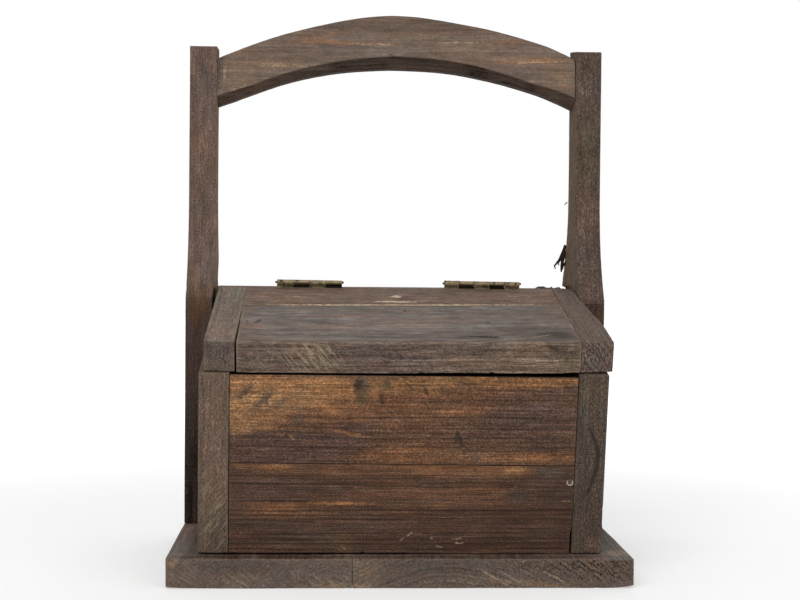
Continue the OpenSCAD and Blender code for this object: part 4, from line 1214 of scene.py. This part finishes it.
metals = {
    "agedBrass": {
        "colour": tone(131, 115, 86), "dark": tone(30, 24, 17), "bright": tone(158, 143, 106),
        "metallic": 0.6, "roughness": 0.46, "scale": 260.0, "tarnish": (0.28, 0.56)},
    "darkIron": {
        "colour": tone(70, 60, 54), "dark": tone(38, 32, 29), "bright": tone(104, 88, 76),
        "metallic": 0.7, "roughness": 0.62, "scale": 700.0, "tarnish": (0.4, 0.62)},
    "tackSteel": {
        "colour": tone(84, 66, 52), "dark": tone(58, 46, 38), "bright": tone(182, 174, 156),
        "metallic": 0.3, "roughness": 0.5, "scale": 500.0, "tarnish": (0.4, 0.62)},
}


def metalMaterial(name, look):
    # old metal: tarnish in blotches over a dull ground, with rubbed spots, a pitted surface, and painted
    # shade where the shade attribute is high
    material, tree, shader, _ = emptyMaterial(name)
    newNode, calc, mixColour, smooth, noiseField, attribute = bound(tree)
    place = newNode("TexCoord").outputs["Object"]
    scale = look["scale"]
    blotch = noiseField(place, (scale, scale, scale), 4.0, 0.6)
    pits = noiseField(place, (scale * 4, scale * 4, scale * 4), 3.0, 0.6)
    colour = mixColour(smooth(blotch, *look["tarnish"]), look["dark"], look["colour"])
    rubbed = calc("MAXIMUM", smooth(pits, 0.6, 0.78), attribute("edge"))
    colour = mixColour(rubbed, colour, look["bright"])
    # painted shade from the shade attribute: a dark colour here, and matte roughness below
    colour = mixColour(attribute("shade"), colour, look["dark"])
    bump = newNode("Bump", {"Height": pits, "Strength": 0.5, "Distance": 0.15 * mm})
    tree.links.new(bump.outputs[0], shader.inputs["Normal"])
    tree.links.new(colour, shader.inputs["Base Color"])
    rough = smooth(blotch, 0.3, 0.7, look["roughness"] + 0.12, look["roughness"] - 0.08)
    rough = calc("MAXIMUM", rough, attribute("shade"))
    tree.links.new(rough, shader.inputs["Roughness"])
    shader.inputs["Metallic"].default_value = look["metallic"]
    return material


brass, iron, tackSteel = [metalMaterial(name, look) for name, look in metals.items()]

hinge = {
    "barrel": 2.3, "sheet": 1.0,           # outer radius of the barrel, thickness of the sheet
    "plateAt": 0.7,                        # the middle of a plate stands this far from the axis
    "notch": {"lid": 5.2, "box": 3.2},     # depth below the axis of the notches in each leaf
    "bend": (4.6, 0.6),                    # depths below the axis of the bend's start and end
    "curl": (96, 342),                     # where the sheet's curl starts and ends, in degrees from below
    "play": 0.06, "rim": 0.45,             # play at a knuckle's ends, and width of the painted shade at them
    "dirt": ((1.85, 2.6, 6.5, 8.5), (0, 1, 1, 0)),   # depths below the axis, and how much painted shade lies there under the barrel
    "dirtShare": {"lid": 0.3, "box": 1.0}, "worn": 0.06,
    "left": {"knuckles": 4, "tilt": -0.011, "swollen": 1.0},
    "right": {"knuckles": 5, "tilt": -0.009, "swollen": 1.12},
}
axis = np.array(frame["record"]["behaviour"]["joints"][0]["pos_m"]) / mm - [0, frontY, 0]


def leafPath(bottom):
    # middle of the sheet as distance from the axis and height above it: up the plate, out by
    # 3t^2 - 2t^3 through the bend, and round the pin; and the square direction of the sheet there
    start, stop = hinge["bend"]
    middle = hinge["barrel"] - hinge["sheet"] / 2
    flat = np.append(np.linspace(bottom, -hinge["notch"]["lid"], 7), -start)
    bend = np.linspace(-start, -stop, 7)[1:]
    t = (bend + start) / (start - stop)
    turn = np.radians(np.linspace(*hinge["curl"], 20))
    plate = np.full(len(flat), hinge["plateAt"])
    bent = plate[0] + (middle - plate[0]) * t * t * (3 - 2 * t)
    out = np.concatenate([plate, bent, middle * np.sin(turn)])
    path = np.stack([out, np.concatenate([flat, bend, -middle * np.cos(turn)])], axis=1)
    run = unit(np.gradient(path, axis=0))
    return path, np.stack([run[:, 1], -run[:, 0]], axis=1)


def sheetMesh(present):
    # corners that are used, and the quads of both faces and of the walls where a neighbour cell is missing
    around = np.pad(present, 1)
    used = around[:-1, :-1] | around[1:, :-1] | around[:-1, 1:] | around[1:, 1:]
    number = np.full(used.shape + (2,), -1)
    number[used] = np.arange(used.sum() * 2).reshape(-1, 2)

    def quad(*places):
        return np.stack([number[place] for place in places], axis=1)

    i, k = np.nonzero(present)
    quads = [quad((i, k, 0), (i + 1, k, 0), (i + 1, k + 1, 0), (i, k + 1, 0)),
             quad((i, k, 1), (i, k + 1, 1), (i + 1, k + 1, 1), (i + 1, k, 1))]
    rows, columns = present.shape
    for di, dk in ((-1, 0), (1, 0), (0, -1), (0, 1)):
        i, k = np.nonzero(present & ~around[1 + di:1 + di + rows, 1 + dk:1 + dk + columns])
        if di:
            e = i + (di > 0)
            wall = quad((e, k, 0), (e, k + 1, 0), (e, k + 1, 1), (e, k, 1))
        else:
            e = k + (dk > 0)
            wall = quad((i, e, 0), (i, e, 1), (i + 1, e, 1), (i + 1, e, 0))
        quads.append(wall[:, ::-1] if di + dk > 0 else wall)
    whole = around[:-1, :-1] & around[1:, :-1] & around[:-1, 1:] & around[1:, 1:]
    return used, np.concatenate(quads), whole


def hingeLeaf(side, body, out):
    # one leaf: a plate that is cut away at the other leaf's knuckles and curled round the pin at its own
    node = "hinge_%s_%s_leaf" % (side, body)
    low, high = span(node)
    look = hinge[side]
    path, square = leafPath(low[2] - axis[2])
    pitch = (high[0] - low[0]) / look["knuckles"]
    reach = np.array([-hinge["rim"], -hinge["play"] / 2, hinge["play"] / 2, hinge["rim"]])
    edges = (low[0] + pitch * np.arange(look["knuckles"] + 1)[:, None] + reach).ravel()
    even = np.linspace(low[0], high[0], 24)
    xs = np.unique(np.round(np.concatenate([np.clip(edges, low[0], high[0]), even]), 3))
    middles = (xs[1:] + xs[:-1]) / 2
    knuckle = np.floor((middles - low[0]) / pitch)
    inside = np.abs(middles - low[0] - pitch * (knuckle + 0.5)) < (pitch - hinge["play"]) / 2
    own = inside & (knuckle % 2 == ("lid", "box").index(body))
    plate = np.arange(len(path) - 1) < (path[1:11, 1] <= -hinge["notch"][body] + 1e-6).sum()
    used, quads, whole = sheetMesh(own[:, None] | plate[None, :])
    thick = np.array([-0.5, 0.5]) * hinge["sheet"]
    a = path[None, :, None, 0] + square[None, :, None, 0] * thick
    z = path[None, :, None, 1] + square[None, :, None, 1] * thick
    big = np.where(xs < low[0] + pitch, look["swollen"], 1.0)[:, None, None]
    grow = 1 + (big - 1) * np.clip((z + hinge["notch"]["lid"]) / 4, 0, 1)
    x = np.broadcast_to(xs[:, None, None], (len(xs),) + a.shape[1:])
    tilt = look["tilt"] * (x - (low[0] + high[0]) / 2)
    grid = np.stack([x, axis[1] + out * a * grow, axis[2] + z * grow + tilt], axis=-1)
    points = grid[used].reshape(-1, 3)
    edge = np.repeat(np.where(whole, 0.0, hinge["worn"])[used], 2)
    below = axis[2] - points[:, 2]
    nearest = np.clip(np.round((points[:, 0] - low[0]) / pitch), 1, look["knuckles"] - 1)
    gap = np.abs(points[:, 0] - low[0] - pitch * nearest) < hinge["play"]
    # painted shade: under the barrel, most on the box leaf, and dark in the narrow gaps between the
    # knuckles
    shade = np.interp(below, *hinge["dirt"]) * hinge["dirtShare"][body]
    shade = np.where(gap & (below < hinge["notch"]["lid"] + 0.5), 1.0, shade)
    quads = quads if out > 0 else quads[:, ::-1]
    obj = meshObject(camel(node), points, quads, {"edge": edge, "shade": shade})
    obj.data.set_sharp_from_angle(angle=math.radians(40))
    obj.data.materials.append(brass)
    finish(obj, body, node)


for side in ("left", "right"):
    hingeLeaf(side, "lid", -1)
    hingeLeaf(side, "box", 1)
print("hinges made")

tack = {
    "radius": 3.1, "seat": 0.8, "sunk": 0.4,    # of the head, its seat behind the front, depth in that
    "profile": ((0, 1.7, 2.2, 2.6, 2.9, 3.1), (0.15, 0.2, 0.4, 0.85, 0.75, 0.2)),   # radii and heights
    "ring": 2.6, "ringWidth": 0.6, "bright": 0.95,   # a bright ring on the head, missing at the top
}


def roundShell(rings, ys):
    # a square lattice pressed to a disc: each side by the square root of 1 less half the other's square
    p, quads = shell(np.linspace(-1, 1, rings), ys, np.linspace(-1, 1, rings))
    u, v = p[:, 0], p[:, 2]
    return np.stack([u * np.sqrt(1 - v * v / 2), p[:, 1], v * np.sqrt(1 - u * u / 2)], axis=1), quads


low, high = span("front_tack")
middle = (low + high) / 2
head, headQuads = roundShell(17, np.linspace(-1, 0, 4))
r = np.hypot(head[:, 0], head[:, 2]) * tack["radius"]
deep = tack["sunk"] + np.interp(r, *tack["profile"])
top = held((head[:, 2] - 0.35) / 0.4)
ring = np.exp(-((r - tack["ring"]) / tack["ringWidth"]) ** 2)
edge = ring * (1 - top) * (head[:, 1] < -0.5) * tack["bright"]
head = np.stack([middle[0] + head[:, 0] * tack["radius"], tack["seat"] + tack["sunk"] + head[:, 1] * deep,
                 middle[2] + head[:, 2] * tack["radius"]], axis=1)
shank, shankQuads = roundShell(7, np.linspace(tack["seat"] + 0.2, high[1], 4))
shank = shank * [0.8, 1, 0.8] + [middle[0], 0, middle[2]]
points = np.concatenate([head, shank])
edge = np.concatenate([edge, np.zeros(len(shank))])
obj = meshObject("tackHead", points, np.concatenate([headQuads, shankQuads + len(head)]),
                 {"edge": edge, "shade": np.zeros(len(points))})
obj.data.materials.append(tackSteel)
finish(obj, "box", "front_tack")

splinters = {
    "y": 217.5, "thick": 0.7, "rough": 0.15, "seed": 91,
    "strands": (            # corners across and up, and widths at both ends
        (((174.6, 298), (171.4, 290), (168.4, 283.5), (165.4, 279.4), (163.2, 277), (164.4, 274)),
         (3.2, 1.0)),
        (((174.6, 293), (171.6, 284), (170.6, 276), (170.2, 270.9)), (4.6, 1.4)),
        (((174, 288), (169.4, 284), (167.2, 280), (167.8, 277.4)), (2.6, 0.9)),
        (((175, 281), (172, 277), (171.4, 273)), (2.4, 0.9)),
        (((175.6, 341.4), (173.6, 339.8), (172.9, 338.4)), (1.2, 0.5))),
}
splinterWood = dict(greyWood, seed=91, tone=tone(52, 42, 37), patch=tone(40, 33, 30))


def strand(corners, widths):
    # a sliver along a bent line, with a square section that narrows evenly to its tip
    corners = np.array(corners)
    t = np.linspace(0, len(corners) - 1, 4 * len(corners))
    line = np.stack([np.interp(t, np.arange(len(corners)), corners[:, k]) for k in range(2)], axis=1)
    run = unit(np.gradient(line, axis=0))
    p, quads = shell(np.arange(len(t)), np.array([-0.5, 0, 0.5]), np.array([-0.5, 0, 0.5]))
    k = p[:, 0].astype(int)
    width = np.interp(t, (0, t[-1]), widths)[k]
    out, y = p[:, 2] * width, splinters["y"] + p[:, 1] * width * splinters["thick"]
    place = np.stack([line[k, 0] - run[k, 1] * out, y, line[k, 1] + run[k, 0] * out], axis=1)
    place = place + splinters["rough"] * noiseAt(place, 1.5, splinters["seed"])[:, None]
    return place, quads, np.stack([t[k] * 4, p[:, 1], p[:, 2]], axis=1)


places, quads, grains = zip(*[strand(*one) for one in splinters["strands"]])
starts = np.cumsum([0] + [len(place) for place in places])
points, grain = np.concatenate(places), np.concatenate(grains)
quads = np.concatenate([part + start for part, start in zip(quads, starts)])
nothing = np.zeros(len(points))
obj = meshObject("postSplinters", points, quads, {
    "grain": grain, "edge": nothing, "ends": nothing, "shade": nothing, "rough": nothing + 1,
    "marks": np.zeros((len(points), 3)), "wash": np.zeros((len(points), 4))})
obj.data.materials.append(woodMaterial("postSplintersWood", splinterWood))
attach(obj, "box")
print("tack and splinters made")
brassSlots = {s["node"] for s in frame["record"]["subparts"] if s["material_slot"] == "aged_brass"}
for name, obj in frame["nodes"].items():
    if obj.hide_render:
        continue
    obj.data.materials.clear()
    obj.data.materials.append(brass if name in brassSlots else iron)
print("metal dressed")

# camera, floor and light

view = {
    "place": (-67.0917, -1294.9062, 279.3779),   # box frame
    "yaw": 0.0488, "pitch": -0.0253, "roll": 0.0093, "lens": 67.5, "sensor": 36,
}


def stand(thing, data, right, up, back, place):
    # an object of this name with these three axes, at a place in metres
    obj = bpy.data.objects.new(thing, data)
    turn = np.eye(4)
    turn[:3] = np.stack([right, up, back, place], axis=1)
    obj.matrix_world = Matrix(turn.tolist())
    bpy.context.scene.collection.objects.link(obj)
    return obj


def makeCamera():
    # forward from yaw and pitch, right level with the floor, up square to both, then rolled
    yaw, pitch, roll = view["yaw"], view["pitch"], view["roll"]
    forward = np.array([math.sin(yaw) * math.cos(pitch), math.cos(yaw) * math.cos(pitch), math.sin(pitch)])
    level = np.array([math.cos(yaw), -math.sin(yaw), 0])
    upright = np.cross(level, forward)
    right = level * math.cos(roll) + upright * math.sin(roll)
    up = upright * math.cos(roll) - level * math.sin(roll)
    data = bpy.data.cameras.new("camera")
    data.lens, data.sensor_width = view["lens"], view["sensor"]
    place = (np.array(view["place"]) + [0, frontY, 0]) * mm
    bpy.context.scene.camera = stand("camera", data, right, up, -forward, place)


studio = {
    "world": 0.42,                    # how strongly the white surroundings light the object
    "lamps": (                        # name, place and size in metres, watts
        ("key", (-0.9, -2.2, 2.2), 2.0, 40.0), ("fill", (1.8, -1.8, 1.2), 2.0, 14.0),
        ("back", (0.3, 2.0, 2.2), 2.0, 16.0)),
    "aim": (0, 0, 0.25),              # where the lamps point, in metres
    "floor": 6.0, "floorLit": 0.45, "floorSeen": 0.72,   # half size, grey in its light and to the eye
    "glow": (0.4, 1.6, 0.36, 0.75),   # the floor's own light grows between two distances, from and to
}


def makeStudio():
    # white surroundings; a floor that is pale to the eye and keeps the shadow, but throws back less light
    scene = bpy.context.scene
    world = bpy.data.worlds.new("studio")
    world.use_nodes = True
    tree = world.node_tree
    tree.nodes.clear()
    strength = calc(tree, "MULTIPLY_ADD", seenDirectly(tree), 1.0 - studio["world"], studio["world"])
    ground = newNode(tree, "Background", {"Color": (1, 1, 1, 1), "Strength": strength})
    newNode(tree, "OutputWorld", {"Surface": ground.outputs[0]})
    scene.world = world
    for name, place, size, power in studio["lamps"]:
        data = bpy.data.lights.new(name, "AREA")
        data.size, data.energy = size, power
        aim = unit(np.array(studio["aim"]) - place)
        right = unit(np.cross(aim, [0, 0, 1]))
        stand(name, data, right, np.cross(right, aim), -aim, place)
    mesh = bpy.data.meshes.new("floor")
    s = studio["floor"]
    mesh.from_pydata([(-s, -s, 0), (s, -s, 0), (s, s, 0), (-s, s, 0)], [], [(0, 1, 2, 3)])
    floor = bpy.data.objects.new("floor", mesh)
    scene.collection.objects.link(floor)
    material, tree, shader, output = emptyMaterial("floorPaint")
    seen = seenDirectly(tree)
    colour = mixColour(tree, seen, grey(studio["floorLit"]), grey(studio["floorSeen"]))
    tree.links.new(colour, shader.inputs["Base Color"])
    shader.inputs["Roughness"].default_value = 0.9
    place = newNode(tree, "TexCoord").outputs["Object"]
    away = newNode(tree, "VectorMath", {0: place}, operation="LENGTH").outputs[1]
    glow = calc(tree, "MULTIPLY", seen, smooth(tree, away, *studio["glow"]))
    glow = newNode(tree, "Emission", {"Color": (1, 1, 1, 1), "Strength": glow})
    both = newNode(tree, "AddShader", {0: shader.outputs[0], 1: glow.outputs[0]})
    tree.links.new(both.outputs[0], output.inputs["Surface"])
    mesh.materials.append(material)
    scene.view_settings.view_transform = "Standard"


def seenDirectly(tree):
    # 1 for rays from the eye, and for the ones that mirrors and glass pass on
    path = newNode(tree, "LightPath")
    seen = calc(tree, "MAXIMUM", path.outputs["Is Camera Ray"], path.outputs["Is Glossy Ray"])
    return calc(tree, "MAXIMUM", seen, path.outputs["Is Transmission Ray"])


makeCamera()
makeStudio()
print("camera and studio made")
